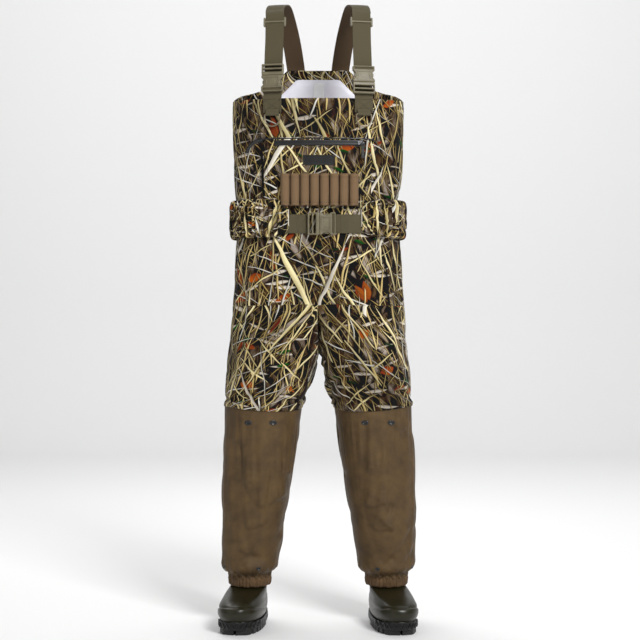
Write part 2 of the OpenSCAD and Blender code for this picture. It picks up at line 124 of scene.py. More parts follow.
def power(c, p):
    return np.sign(c) * np.abs(c) ** p


def smooth(s):
    s = np.clip(s, 0, 1)
    return s * s * (3 - 2 * s)


def lattice(i, j, seed):
    h = np.sin(i * 127.1 + j * 311.7 + seed * 74.7) * 43758.5453
    return h - np.floor(h)


def grain(x, y, seed):
    """Smooth value noise from 0 to 1, the same on every run."""
    x, y = np.asarray(x, float), np.asarray(y, float)
    i, j = np.floor(x), np.floor(y)
    fx, fy = smooth(x - i), smooth(y - j)
    low = lattice(i, j, seed) * (1 - fx) + lattice(i + 1, j, seed) * fx
    high = lattice(i, j + 1, seed) * (1 - fx) + lattice(i + 1, j + 1, seed) * fx
    return low * (1 - fy) + high * fy


def ridge(x, y, seed):
    """Creases: near 1 along wandering lines, 0 between them."""
    return (1 - np.abs(2 * grain(x, y, seed) - 1)) ** 3


# ---------- the garment's surface, as in the part's own source ----------

BODY_Y = 0.022
BODY_POWER = 2.6
LEG_POWER = 2.2
CHEST_W, CHEST_D = 0.229, 0.131
CROTCH_Z, KNEE_Z, CUFF_TOP, CUFF_H = 0.850, 0.580, 0.129, 0.027
FRONT_TOP, SIDE_TOP, BACK_TOP, YOKE_Z = 1.383, 1.388, 1.494, 1.344
BODY_W_ROWS = [(850, 2), (915, -3), (1007, -9), (1130, -9), (1221, -4), (1344, 0), (1500, -4)]
BODY_D_ROWS = [(850, 7), (915, 9), (1007, -1), (1130, -4), (1221, 0), (1344, 1), (1500, -3)]
LEG_X_ROWS = [(129, 183), (193, 183), (287, 176), (382, 168), (477, 157), (575, 147), (670, 131), (733, 122),
              (850, 115)]
LEG_W_ROWS = [(129, 53), (163, 68), (193, 76), (287, 86), (382, 94), (477, 100), (575, 104), (670, 115),
              (733, 116), (850, 114)]
LEG_D_ROWS = [(129, 70), (163, 76), (193, 82), (287, 90), (382, 98), (477, 104), (575, 110), (670, 124),
              (733, 130), (850, 138)]
LEG_Y_ROWS = [(129, 38), (287, 32), (477, 26), (575, 22), (850, 22)]


def body_w(z):
    return CHEST_W + table(z, BODY_W_ROWS)


def body_d(z):
    return CHEST_D + table(z, BODY_D_ROWS)


def body_pt(t, z, d=0.0):
    """Points at angle t (0 in front, 90 at the right) and height z, d outside the cloth."""
    t, z = np.radians(t), np.asarray(z, float)
    x = (body_w(z) + d) * power(np.sin(t), 2 / BODY_POWER)
    y = BODY_Y - (body_d(z) + d) * power(np.cos(t), 2 / BODY_POWER)
    return np.stack(np.broadcast_arrays(x, y, z), -1)


def front_y(x, z, d=0.0):
    w = body_w(z) + d
    return BODY_Y - (body_d(z) + d) * (1 - (np.abs(x) / w) ** BODY_POWER) ** (1 / BODY_POWER)


def front_pt(x, z, d=0.0):
    x, z = np.broadcast_arrays(np.asarray(x, float), np.asarray(z, float))
    return np.stack([x, front_y(x, z, d), z], -1)


def top_edge(t):
    """Height of the garment's upper edge at angle t."""
    s = np.abs(np.where(np.asarray(t, float) > 180, 360 - np.asarray(t, float), t))
    angles = [0, 50, 80, 91, 102, 116, 135, 149, 157, 163, 180]
    over_side = np.array([-0.002, 0.002, 0.014, 0.027, 0.040, 0.056, 0.074])
    heights = [FRONT_TOP, FRONT_TOP, *(SIDE_TOP + over_side), BACK_TOP, BACK_TOP]
    return sum(np.interp(s + o, angles, heights) for o in (-1.5, 0, 1.5)) / 3


def leg_pt(u, z, d=0.0):
    """Points round the right leg; at the crotch its outer half is the body's own edge."""
    u, z = np.radians(u), np.asarray(z, float)
    w = smooth((z - 0.7) / (CROTCH_Z - 0.7))
    outside = np.sin(u) > 1e-9
    s = np.abs(np.sin(u))
    top_x = np.where(outside, (body_w(CROTCH_Z) + d) * s ** (2 / BODY_POWER), 0)
    bend = np.where(outside, 2 / BODY_POWER, 1.0)
    top_y = BODY_Y - (body_d(CROTCH_Z) + d) * np.sign(np.cos(u)) * np.abs(np.cos(u)) ** bend
    low_x = table(z, LEG_X_ROWS) + (table(z, LEG_W_ROWS) + d) * power(np.sin(u), 2 / LEG_POWER)
    low_y = table(z, LEG_Y_ROWS) - (table(z, LEG_D_ROWS) + d) * power(np.cos(u), 2 / LEG_POWER)
    top_x = np.maximum(top_x, -d)
    return np.stack(np.broadcast_arrays(w * top_x + (1 - w) * low_x, w * top_y + (1 - w) * low_y, z), -1)


def arc_length(points):
    """Running length along each row of points."""
    steps = np.linalg.norm(np.diff(points, axis=1), axis=2)
    return np.concatenate([np.zeros((points.shape[0], 1)), np.cumsum(steps, axis=1)], axis=1)


# ---------- meshes ----------

def add_grid(bm, points, uv=None, wrap=False, flip=False, slot=0):
    """A grid of quads: rows run up and columns to the right, seen from outside."""
    layer = bm.loops.layers.uv.get("print") or bm.loops.layers.uv.new("print")
    rows, cols = points.shape[:2]
    if uv is None:
        length = arc_length(points)
        uv = np.stack([length, np.broadcast_to(np.arange(rows)[:, None] * 0.01, length.shape)], -1)
    verts = [[bm.verts.new(p) for p in row] for row in points]
    made = []
    for i in range(rows - 1):
        for j in range(cols if wrap else cols - 1):
            corners = [(i, j), (i, j + 1), (i + 1, j + 1), (i + 1, j)]
            if flip:
                corners.reverse()
            face = bm.faces.new([verts[a][b % cols] for a, b in corners])
            for loop, (a, b) in zip(face.loops, corners):
                loop[layer].uv = uv[a][min(b, uv.shape[1] - 1)]
            face.smooth = True
            face.material_index = slot
            made.append(face)
    return verts, made


def to_object(bm, name, *materials):
    mesh = bpy.data.meshes.new(name)
    bm.to_mesh(mesh)
    bm.free()
    for mat in materials:
        mesh.materials.append(mat)
    obj = bpy.data.objects.new(name, mesh)
    bpy.context.collection.objects.link(obj)
    return obj


def apply_modifiers(obj):
    depsgraph = bpy.context.evaluated_depsgraph_get()
    mesh = bpy.data.meshes.new_from_object(obj.evaluated_get(depsgraph), preserve_all_data_layers=True,
                                           depsgraph=depsgraph)
    old = obj.data
    obj.modifiers.clear()
    obj.data = mesh
    bpy.data.meshes.remove(old)


def solidify(obj, thickness, offset=-1.0, rim=True):
    mod = obj.modifiers.new("thickness", "SOLIDIFY")
    mod.thickness = thickness
    mod.offset = offset
    mod.use_rim = rim
    return mod


def bevel(obj, width, segments=2, angle=35):
    mod = obj.modifiers.new("bevel", "BEVEL")
    mod.width = width
    mod.segments = segments
    mod.limit_method = "ANGLE"
    mod.angle_limit = math.radians(angle)
    mod.harden_normals = False


def subdivide(obj, levels=1):
    mod = obj.modifiers.new("subdivision", "SUBSURF")
    mod.levels = levels
    mod.render_levels = levels


def shade_by_angle(obj, degrees=35):
    mesh = obj.data
    mesh.polygons.foreach_set("use_smooth", [True] * len(mesh.polygons))
    mesh.set_sharp_from_angle(angle=math.radians(degrees))


def place(obj, body, slot, *nodes):
    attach(obj, body)
    if nodes:
        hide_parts(*nodes)
    return obj


# ---------- materials ----------

class Nodes:
    """Short calls for building a material's nodes."""

    def __init__(self, name, roughness=0.8, **constants):
        self.mat = bpy.data.materials.new(name)
        self.mat.use_nodes = True
        self.tree = self.mat.node_tree
        self.shader = self.tree.nodes["Principled BSDF"]
        self.shader.inputs["Roughness"].default_value = roughness
        for key, value in constants.items():
            self.shader.inputs[key.replace("_", " ")].default_value = value

    def node(self, kind, inputs=None, **settings):
        made = self.tree.nodes.new("ShaderNode" + kind)
        for key, value in settings.items():
            setattr(made, key, value)
        for key, value in (inputs or {}).items():
            self.feed(made.inputs[key], value)
        return made

    def feed(self, socket, value):
        if isinstance(value, bpy.types.NodeSocket):
            self.tree.links.new(value, socket)
        elif isinstance(value, tuple) and len(value) == 3 and len(socket.default_value) == 4:
            socket.default_value = (*value, 1)
        else:
            socket.default_value = value

    def math(self, op, a, b=0.0, c=None, clamp=False):
        inputs = {0: a, 1: b} if c is None else {0: a, 1: b, 2: c}
        return self.node("Math", inputs, operation=op, use_clamp=clamp).outputs[0]

    def mix(self, factor, a, b, blend="MIX"):
        made = self.node("Mix", {0: factor, 6: a, 7: b}, data_type="RGBA", blend_type=blend)
        return made.outputs[2]

    def noise(self, where, scale, detail=2.0, rough=0.5, distortion=0.0):
        made = self.node("TexNoise", {"Vector": where, "Scale": scale, "Detail": detail, "Roughness": rough,
                                      "Distortion": distortion})
        return made.outputs[0]

    def ramp(self, value, stops):
        made = self.node("ValToRGB", {0: value})
        ramp = made.color_ramp
        while len(ramp.elements) < len(stops):
            ramp.elements.new(0.5)
        for element, (at, colour) in zip(ramp.elements, stops):
            element.position = at
            element.color = (*colour, 1) if isinstance(colour, tuple) else (colour, colour, colour, 1)
        return made.outputs[0]

    def print_uv(self):
        return self.node("UVMap", uv_map="print").outputs[0]

    def place(self):
        return self.node("TexCoord").outputs["Object"]

    def stretched(self, where, turn=0.0, scale=(1, 1, 1), shift=(0, 0, 0)):
        turned = self.node("Mapping", {"Vector": where, "Rotation": (0, 0, turn)}).outputs[0]
        return self.node("Mapping", {"Vector": turned, "Scale": scale, "Location": shift}).outputs[0]

    def colour(self, value):
        self.feed(self.shader.inputs["Base Color"], value)

    def bump(self, height, strength=0.4, distance=0.001, over=None):
        inputs = {"Height": height, "Strength": strength, "Distance": distance}
        if over is not None:
            inputs["Normal"] = over
        made = self.node("Bump", inputs).outputs[0]
        self.feed(self.shader.inputs["Normal"], made)
        return made


def weave_height(n, uv, threads=900.0):
    """A plain weave: two crossed sets of fine threads."""
    parts = n.node("SeparateXYZ", {0: uv})
    across = n.math("SINE", n.math("MULTIPLY", parts.outputs[0], threads * math.pi))
    along = n.math("SINE", n.math("MULTIPLY", parts.outputs[1], threads * math.pi))
    return n.math("MULTIPLY", across, along)


def srgb(code):
    """A hex colour as linear red, green and blue."""
    parts = [int(code[i:i + 2], 16) / 255 for i in (1, 3, 5)]
    return tuple(c / 12.92 if c <= 0.04045 else ((c + 0.055) / 1.055) ** 2.4 for c in parts)


# Layers of the reed print, from the bottom up: turn of the blades in degrees, cell width and length, half width
# and half length of a blade, the share of cells that hold one, its dark and light colours, and its edge softness
REED_LAYERS = [
    (24, 0.030, 0.120, 0.0100, 0.060, 0.60, "#2a2019", "#5f5042", 2.0),
    (-31, 0.036, 0.110, 0.0110, 0.055, 0.55, "#6a5f58", "#a0958a", 2.0),
    (10, 0.026, 0.100, 0.0080, 0.050, 0.60, "#0a0806", "#1d1712", 2.5),
    (48, 0.028, 0.090, 0.0060, 0.046, 0.55, "#0d0a08", "#2c231a", 3.0),
    (82, 0.034, 0.070, 0.0050, 0.034, 0.45, "#8b8178", "#cfc6b8", 3.0),
    (72, 0.050, 0.060, 0.0110, 0.024, 0.13, "#5c2c14", "#a4582c", 4.0),
    (-20, 0.070, 0.080, 0.0130, 0.026, 0.11, "#5a2d16", "#8f5229", 4.0),
    (-14, 0.012, 0.090, 0.0016, 0.045, 0.60, "#4d3f22", "#bca676", 4.0),
    (-47, 0.013, 0.080, 0.0015, 0.040, 0.75, "#2c2316", "#a8935f", 4.0),
    (20, 0.017, 0.100, 0.0020, 0.050, 0.48, "#6d5a34", "#d9c692", 5.0),
    (-72, 0.034, 0.050, 0.0055, 0.018, 0.09, "#12281a", "#35592f", 4.0),
    (5, 0.024, 0.150, 0.0030, 0.075, 0.50, "#6a5730", "#d2bc84", 6.0),
    (-66, 0.040, 0.130, 0.0020, 0.065, 0.42, "#77726a", "#dedbd2", 6.0),
    (52, 0.030, 0.120, 0.0022, 0.060, 0.45, "#75602f", "#e4d7a6", 6.0),
    (-29, 0.038, 0.160, 0.0032, 0.080, 0.42, "#7c6738", "#e8dcae", 7.0),
    (17, 0.046, 0.180, 0.0026, 0.090, 0.38, "#8a857a", "#dedcd2", 7.0),
    (-9, 0.046, 0.190, 0.0042, 0.095, 0.36, "#86713f", "#e4d8ac", 8.0),
    (29, 0.085, 0.260, 0.0062, 0.125, 0.34, "#8d8377", "#dcd6c8", 6.0),
    (-16, 0.095, 0.300, 0.0072, 0.150, 0.34, "#86733f", "#e6daac", 6.0),
    (2, 0.120, 0.320, 0.0064, 0.160, 0.26, "#120e0b", "#3c2f24", 5.0),
]


def reed_layer(n, where, base, number, layer):
    """Tapered blades, one in some of the cells, each with a dark edge under it."""
    turn, cell_w, cell_l, half_w, half_l, share, dark, light, crisp = layer
    spot = n.stretched(where, math.radians(turn), (1 / cell_w, 1 / cell_l, 1), (7.31 * number, 3.17 * number, 0))
    cell = n.node("TexVoronoi", {"Vector": spot, "Scale": 1.0}, voronoi_dimensions="2D", feature="F1")
    offset = n.node("VectorMath", {0: spot, 1: cell.outputs["Position"]}, operation="SUBTRACT").outputs[0]
    local = n.node("SeparateXYZ", {0: offset}).outputs
    chance = n.node("SeparateXYZ", {0: cell.outputs["Color"]}).outputs
    along = n.math("MULTIPLY", local[1], cell_l / half_l)
    lean = n.math("MULTIPLY", n.math("SUBTRACT", chance[0], 0.5), 0.45 * half_l / half_w)
    across = n.math("MULTIPLY_ADD", local[0], cell_w / half_w, n.math("MULTIPLY", lean, along))
    taper = n.math("SUBTRACT", 1.0, n.math("MULTIPLY", along, along))
    width = n.math("MULTIPLY", taper, n.math("MULTIPLY_ADD", chance[2], 0.7, 0.45))
    present = n.math("LESS_THAN", chance[1], share)
    inside = n.math("SUBTRACT", width, n.math("ABSOLUTE", across))
    mask = n.math("MULTIPLY", n.math("MULTIPLY", inside, crisp, clamp=True), present)
    beside = n.math("ABSOLUTE", n.math("ADD", across, 0.75))
    shadow = n.math("MULTIPLY", n.math("SUBTRACT", n.math("ADD", width, 0.35), beside), 1.6, clamp=True)
    under = n.mix(n.math("MULTIPLY", n.math("MULTIPLY", shadow, present), 0.62), base, srgb("#120e0a"))
    tone = n.math("MULTIPLY_ADD", across, 0.42, n.math("MULTIPLY_ADD", chance[2], 0.6, 0.28), clamp=True)
    blade = n.mix(tone, srgb(dark), srgb(light))
    return n.mix(mask, under, blade)


def camo_material():
    n = Nodes("camo_cloth", 0.85, Sheen_Weight=0.03, Specular_IOR_Level=0.22)
    uv = n.print_uv()
    flow = n.node("TexNoise", {"Vector": uv, "Scale": 9.0, "Detail": 2.0}).outputs[1]
    drift = n.node("VectorMath", {0: flow, 1: (0.5, 0.5, 0.5)}, operation="SUBTRACT").outputs[0]
    drift = n.node("VectorMath", {0: drift, "Scale": 0.022}, operation="SCALE").outputs[0]
    where = n.node("VectorMath", {0: uv, 1: drift}, operation="ADD").outputs[0]
    bark = n.noise(n.stretched(where, 0.2, (26, 9, 1)), 1.0, 5.0, 0.65)
    tint = n.noise(uv, 14.0, 3.0)
    base = n.ramp(bark, [(0.30, srgb("#0d0a08")), (0.45, srgb("#32281f")), (0.56, srgb("#6b5f55")),
                         (0.70, srgb("#a1958a"))])
    base = n.mix(n.math("MULTIPLY", tint, 0.6), base, srgb("#3e3426"))
    for number, layer in enumerate(REED_LAYERS):
        base = reed_layer(n, where, base, number + 1, layer)
    shade = n.noise(n.stretched(uv, 0.1, (5.5, 3.5, 1)), 1.0, 2.0, 0.5)
    base = n.mix(n.ramp(shade, [(0.36, 0.42), (0.52, 0.0)]), base, srgb("#0d0a08"))
    speckle = n.noise(n.stretched(uv, 0.0, (900, 420, 1)), 1.0, 2.0)
    base = n.mix(n.ramp(speckle, [(0.3, 0.0), (0.75, 0.32)]), base, srgb("#1d1812"))
    n.colour(n.node("BrightContrast", {0: base, 1: 0.125, 2: 0.32}).outputs[0])
    wrinkle = n.noise(uv, 70.0, 4.0, 0.6)
    soft = n.bump(wrinkle, 0.35, 0.0016)
    n.bump(weave_height(n, uv, 1300.0), 0.22, 0.0003, over=soft)
    return n.mat


def cloth_material(name, colour, dark, roughness=0.75, threads=1400.0, sheen=0.2, wrinkle=0.3):
    """Plain woven cloth with faint blotches and a weave."""
    n = Nodes(name, roughness, Sheen_Weight=sheen, Sheen_Roughness=0.45, Specular_IOR_Level=0.25)
    uv = n.print_uv()
    blotch = n.noise(uv, 22.0, 4.0, 0.6)
    fleck = n.noise(n.stretched(uv, 0.0, (1100, 500, 1)), 1.0, 2.0)
    base = n.mix(n.ramp(blotch, [(0.3, 0.0), (0.75, 1.0)]), srgb(dark), srgb(colour))
    n.colour(n.mix(n.math("MULTIPLY", fleck, 0.25), base, srgb(dark)))
    soft = n.bump(n.noise(uv, 85.0, 4.0, 0.6), wrinkle, 0.0012)
    n.bump(weave_height(n, uv, threads), 0.25, 0.0003, over=soft)
    return n.mat


def webbing_material(name, colour, dark):
    """Ribbed webbing: ribs across and fine chevrons along. The map's u runs across from 0."""
    n = Nodes(name, 0.8, Sheen_Weight=0.05, Specular_IOR_Level=0.3)
    uv = n.print_uv()
    parts = n.node("SeparateXYZ", {0: uv}).outputs
    zigzag = n.math("PINGPONG", n.math("MULTIPLY", parts[0], 330.0), 1.0)
    rib = n.math("SINE", n.math("MULTIPLY_ADD", parts[1], 2900.0, n.math("MULTIPLY", zigzag, 2.6)))
    thread = n.math("SINE", n.math("MULTIPLY", parts[0], 3800.0))
    height = n.math("MULTIPLY_ADD", thread, 0.35, rib)
    shade = n.math("MULTIPLY_ADD", height, 0.22, 0.5, clamp=True)
    wear = n.ramp(n.noise(uv, 60.0, 4.0), [(0.35, 0.0), (0.8, 0.55)])
    base = n.mix(shade, srgb(dark), srgb(colour))
    n.colour(n.mix(wear, base, n.mix(0.5, srgb(dark), srgb(colour))))
    n.bump(height, 0.5, 0.00045)
    return n.mat


def moulded_material(name, colour, dark, roughness=0.45, texture=900.0, coat=0.0, metallic=0.0, depth=0.18):
    """Moulded plastic, rubber or coated metal: a fine grain, scuffs, and convex edges lightened as a painted highlight.
    """
    n = Nodes(name, roughness, Coat_Weight=coat, Coat_Roughness=0.25, Metallic=metallic, Specular_IOR_Level=0.32)
    where = n.place()
    grainy = n.noise(where, texture, 3.0, 0.6)
    blotch = n.noise(where, 40.0, 4.0, 0.6)
    edge = n.node("NewGeometry").outputs["Pointiness"]
    # convex edges are mixed towards a lighter copy of the colour: a painted highlight
    painted_edge_highlight = n.ramp(edge, [(0.50, 0.0), (0.58, 0.5)])
    base = n.mix(n.ramp(blotch, [(0.3, 0.0), (0.8, 1.0)]), srgb(dark), srgb(colour))
    bright = tuple(min(1.0, 1.5 * c + 0.02) for c in srgb(colour))
    n.colour(n.mix(painted_edge_highlight, base, bright))
    rough = n.math("MULTIPLY_ADD", blotch, 0.22, roughness - 0.11, clamp=True)
    n.feed(n.shader.inputs["Roughness"], rough)
    n.bump(grainy, depth, 0.0003)
    return n.mat


def elastic_material():
    """Knitted elastic with close upright ribs."""
    n = Nodes("shell_elastic", 0.8, Sheen_Weight=0.03, Specular_IOR_Level=0.25)
    uv = n.print_uv()
    parts = n.node("SeparateXYZ", {0: uv}).outputs
    ribs = n.math("SINE", n.math("MULTIPLY", parts[0], 4200.0))
    rows = n.math("SINE", n.math("MULTIPLY", parts[1], 2600.0))
    height = n.math("MULTIPLY_ADD", rows, 0.3, ribs)
    shade = n.math("MULTIPLY_ADD", height, 0.2, 0.55, clamp=True)
    blotch = n.noise(uv, 40.0, 3.0)
    base = n.mix(shade, srgb("#4d3b28"), srgb("#8f7455"))
    n.colour(n.mix(n.math("MULTIPLY", blotch, 0.4), base, srgb("#614a33")))
    n.bump(height, 0.45, 0.0004)
    return n.mat


def make_materials():
    return {
        "camo": camo_material(),
        "gaiter": cloth_material("gaiter_cloth", "#624c2e", "#44341f", 0.6, 1200.0, 0.03, 0.25),
        "cuff": cloth_material("cuff_cloth", "#6b5135", "#4a3824", 0.7, 1200.0, 0.03, 0.4),
        "lining": cloth_material("lining_cloth", "#f3f2fa", "#dfdde9", 0.5, 1500.0, 0.1, 0.3),
        "label": cloth_material("label_cloth", "#f6f6f6", "#e6e6ea", 0.5, 1500.0, 0.2, 0.1),
        "webbing": webbing_material("webbing_face", "#5f573f", "#3c3627"),
        "webbing_back": webbing_material("webbing_reverse", "#655039", "#3b2e20"),
        "plastic": moulded_material("buckle_plastic", "#6f6852", "#575140", 0.42),
        "metal": moulded_material("ring_metal", "#8a7f69", "#655c4a", 0.30, 1400.0, 0.0, 0.75, 0.1),
        "chrome": moulded_material("slider_metal", "#8e8e92", "#55555a", 0.28, 1400.0, 0.0, 0.9, 0.08),
        "black": moulded_material("black_enamel", "#1c1b1b", "#0d0d0d", 0.3, 1200.0, 0.3),
        "zip": moulded_material("zip_coating", "#1b1b1d", "#121214", 0.45, 1500.0, 0.05),
        "piping": moulded_material("glossy_piping", "#151517", "#09090a", 0.22, 900.0, 0.6, 0.0, 0.1),
        "patch": moulded_material("patch_rubber", "#151515", "#0c0c0c", 0.5, 1200.0),
        "elastic": elastic_material(),
        "boot": moulded_material("boot_rubber", "#262312", "#191809", 0.33, 700.0, 0.0, 0.0, 0.25),
        "overlay": moulded_material("overlay_rubber", "#2f2c1d", "#211f16", 0.36, 900.0, 0.15, 0.0, 0.2),
        "outsole": moulded_material("outsole_rubber", "#100f0e", "#080807", 0.45, 600.0),
        "felt": cloth_material("footbed_felt", "#8e897c", "#6c685d", 0.95, 600.0, 0.4, 0.6),
        "thread": cloth_material("stitch_thread", "#5e553f", "#453d2c", 0.7, 4000.0, 0.2, 0.1),
        "thread_dark": cloth_material("dark_thread", "#3c3427", "#2a241a", 0.7, 4000.0, 0.2, 0.1),
    }


# ---------- cloth simulation ----------

def settle(obj, held, frames=24, growth=0.05, pressure=0.0, gravity=0.3, cap=0.014, bending=0.6):
    """Lets the cloth buckle between the vertices that are held (weight 1), and moves none by more than cap."""
    group = obj.vertex_groups.new(name="held")
    for index, weight in enumerate(held):
        if weight > 0:
            group.add([index], float(weight), "REPLACE")
    mod = obj.modifiers.new("cloth", "CLOTH")
    cloth = mod.settings
    cloth.quality = 6
    cloth.mass = 0.25
    cloth.tension_stiffness = 18
    cloth.compression_stiffness = 8
    cloth.shear_stiffness = 4
    cloth.bending_stiffness = bending
    cloth.vertex_group_mass = "held"
    cloth.shrink_min = -growth
    cloth.shrink_max = -growth
    cloth.effector_weights.gravity = gravity
    cloth.use_pressure = pressure != 0
    cloth.uniform_pressure_force = pressure
    mod.collision_settings.use_collision = False
    mod.collision_settings.use_self_collision = False
    mod.point_cache.frame_start = 1
    mod.point_cache.frame_end = frames
    start = np.array([v.co for v in obj.data.vertices])
    scene = bpy.context.scene
    for step in range(1, frames + 1):
        scene.frame_set(step)
    moved_mesh = obj.evaluated_get(bpy.context.evaluated_depsgraph_get()).data
    end = np.array([v.co for v in moved_mesh.vertices])
    obj.modifiers.remove(mod)
    scene.frame_set(1)
    move = np.nan_to_num(end - start)
    far = np.linalg.norm(move, axis=1, keepdims=True)
    move *= cap * np.tanh(far / cap) / np.maximum(far, 1e-9)
    obj.data.vertices.foreach_set("co", (start + move).ravel())
    obj.vertex_groups.clear()
    obj.data.update()


# ---------- the camouflage body and thighs ----------

BODY_COLS = 192          # columns round the body; the legs use half of them on their outer side
FRONT_REST = 0.15        # half width of the flat area under the chest pocket


def normals_of(points):
    """Unit normals of a grid of points, outwards."""
    across = np.gradient(points, axis=1)
    up = np.gradient(points, axis=0)
    n = np.cross(across, up)
    return n / np.maximum(np.linalg.norm(n, axis=2, keepdims=True), 1e-9)


def body_folds(points):
    x, y, z = points[..., 0], points[..., 1], points[..., 2]
    s = arc_length(points)
    broad = (grain(s * 9, z * 2.2, 3) - 0.5) * 0.009
    creases = -ridge(s * 7 + z * 3, z * 9 - s * 2, 11) * 0.0050
    belt = np.exp(-((z - 1.060) / 0.075) ** 2)
    pull = -np.abs(np.sin(s * 62 + 3 * grain(s * 8, z * 4, 5))) ** 0.7 * 0.0055 * belt
    low = smooth((1.0 - z) / 0.12) * smooth((z - 0.85) / 0.05)
    drag = -ridge(np.abs(x) * 16 + z * 14, z * 5 - np.abs(x) * 5, 23) * 0.0065 * low
    calm_front = smooth((FRONT_REST + 0.03 - np.abs(x)) / 0.03) * smooth((0.0 - y) / 0.03)
    calm_front = calm_front * smooth((z - 1.085) / 0.02)
    edge = smooth((top_edge(np.degrees(np.arctan2(x, -(y - BODY_Y)))) - z) / 0.04)
    base = smooth((z - CROTCH_Z) / 0.03)
    waist = 1 - 0.75 * np.exp(-((z - 1.060) / 0.03) ** 4)
    folds = (broad + creases + pull * 0.7 + drag) * (1 - calm_front) * (0.25 + 0.75 * edge) * base * waist
    lined = smooth((y - BODY_Y + 0.02) / 0.04) * smooth((z - 1.17) / 0.03)
    return np.where(folds < 0, folds * (1 - 0.85 * lined), folds)


def knee_dip(u, z):
    """How far the knee seam, and the cloth near it, hangs lower at the front, on its inner side."""
    return 0.011 * np.maximum(np.cos(np.radians(u + 28)), 0) ** 1.5 * smooth(1 - np.abs(z - KNEE_Z) / 0.10)


def leg_folds(points, seed):
    x, y, z = points[..., 0], points[..., 1], points[..., 2]
    s = arc_length(points)
    broad = (grain(s * 10, z * 5, seed) - 0.5) * 0.008
    creases = -ridge(s * 6 + z * 6, z * 12 - s * 4, seed + 4) * 0.0065
    fine = -ridge(s * 13 - z * 9, z * 20 + s * 5, seed + 9) * 0.0025
    ends = smooth((z - KNEE_Z - 0.006) / 0.03) * smooth((CROTCH_Z - z) / 0.03)
    inside = smooth((0.10 - np.abs(x)) / 0.05) * np.exp(-((z - 0.745) / 0.05) ** 2)
    return (broad + creases + fine + 0.0035) * ends + 0.008 * inside


def make_camo_body(materials):
    bm = bmesh.new()
    angles = np.linspace(-180, 180, BODY_COLS + 1)
    levels = np.linspace(0, 1, 100)[:, None]
    edge = top_edge(np.abs(angles))[None, :]
    z = CROTCH_Z + levels * (edge - CROTCH_Z)
    points = body_pt(angles[None, :], z)
    flat = points.copy()
    points += normals_of(points) * body_folds(points)[..., None]
    points[:, -1] = points[:, 0]
    points[0] = flat[0]
    length = arc_length(body_pt(angles[None, :], np.full_like(z, 1.2)))
    uv = np.stack([length - length[:, -1:] / 2, z], -1)
    add_grid(bm, points[:, :-1], uv, wrap=True)

    inner = np.linspace(-90, 0, 25)[:-1]
    outer = np.linspace(0, 180, BODY_COLS // 2 + 1)
    back = np.linspace(180, 270, 25)[1:]
    around = np.concatenate([inner, outer, back])
    heights = np.linspace(KNEE_Z, CROTCH_Z, 46)[:, None]
    for side, seed in ((1, 31), (-1, 57)):
        level = heights + 0 * around[None, :]
        leg = leg_pt(around[None, :], level - knee_dip(around[None, :], level),
                     0.0008 * smooth((CROTCH_Z - level) / 0.08))
        flat = leg.copy()
        leg += normals_of(leg) * leg_folds(leg, seed)[..., None]
        leg[:, -1] = leg[:, 0]
        leg[-1] = flat[-1]
        s = arc_length(flat)
        uv = np.stack([s + 1.7 * side + 0.11, flat[..., 2] + 0.37 * side], -1)
        leg[..., 0] *= side
        add_grid(bm, leg[:, :-1], uv, wrap=True, flip=side < 0)
    bmesh.ops.remove_doubles(bm, verts=bm.verts, dist=0.0004)
    crotch = [v for v in bm.verts if abs(v.co.x) < 0.035 and 0.80 < v.co.z < 0.875]
    for _ in range(6):
        bmesh.ops.smooth_vert(bm, verts=crotch, factor=0.5, use_axis_x=True, use_axis_y=True, use_axis_z=True)
    bmesh.ops.recalc_face_normals(bm, faces=bm.faces)
    body = to_object(bm, "camo_body", materials["camo"])
    z = np.array([v.co.z for v in body.data.vertices])
    x = np.array([v.co.x for v in body.data.vertices])
    y = np.array([v.co.y for v in body.data.vertices])
    top = top_edge(np.degrees(np.arctan2(np.abs(x), -(y - BODY_Y))))
    held = (z > top - 0.012) | (z < KNEE_Z + 0.004) | (np.abs(z - 1.06) < 0.028)
    held |= (np.abs(x) < FRONT_REST) & (y < 0) & (z > 1.085)
    settle(body, held.astype(float), frames=14, growth=0.022, gravity=0.2, cap=0.010, bending=1.5)
    solidify(body, 0.0022)
    apply_modifiers(body)
    place(body, GARMENT, "camo_cloth", "front_panel", "front_yoke", "back_panel", "back_bib",
          "left_thigh_front", "left_thigh_back", "right_thigh_front", "right_thigh_back")
    return body


# ---------- gaiters and cuffs ----------

# Creases at the front of each gaiter: both ends as x and z, then the height of the fold
CREASES = {
    -1: [(-0.201, 0.397, -0.158, 0.316, 0.0050), (-0.158, 0.327, -0.084, 0.351, 0.0050),
         (-0.123, 0.426, -0.068, 0.397, 0.0042), (-0.201, 0.394, -0.120, 0.390, 0.0034),
         (-0.194, 0.270, -0.134, 0.280, 0.0036), (-0.230, 0.500, -0.175, 0.470, 0.0030),
         (-0.215, 0.215, -0.150, 0.190, 0.0030), (-0.110, 0.245, -0.085, 0.205, 0.0030)],
    1: [(0.125, 0.327, 0.196, 0.337, 0.0052), (0.196, 0.337, 0.168, 0.291, 0.0042),
        (0.168, 0.295, 0.196, 0.259, 0.0042), (0.143, 0.270, 0.196, 0.259, 0.0036),
        (0.168, 0.171, 0.249, 0.266, 0.0048), (0.213, 0.178, 0.253, 0.220, 0.0040),
        (0.185, 0.504, 0.249, 0.529, 0.0036), (0.120, 0.420, 0.190, 0.440, 0.0030)],
}
VALLEYS = {-1: (-0.208, -0.204, 0.490, 0.397), 1: (0.118, 0.125, 0.468, 0.348)}


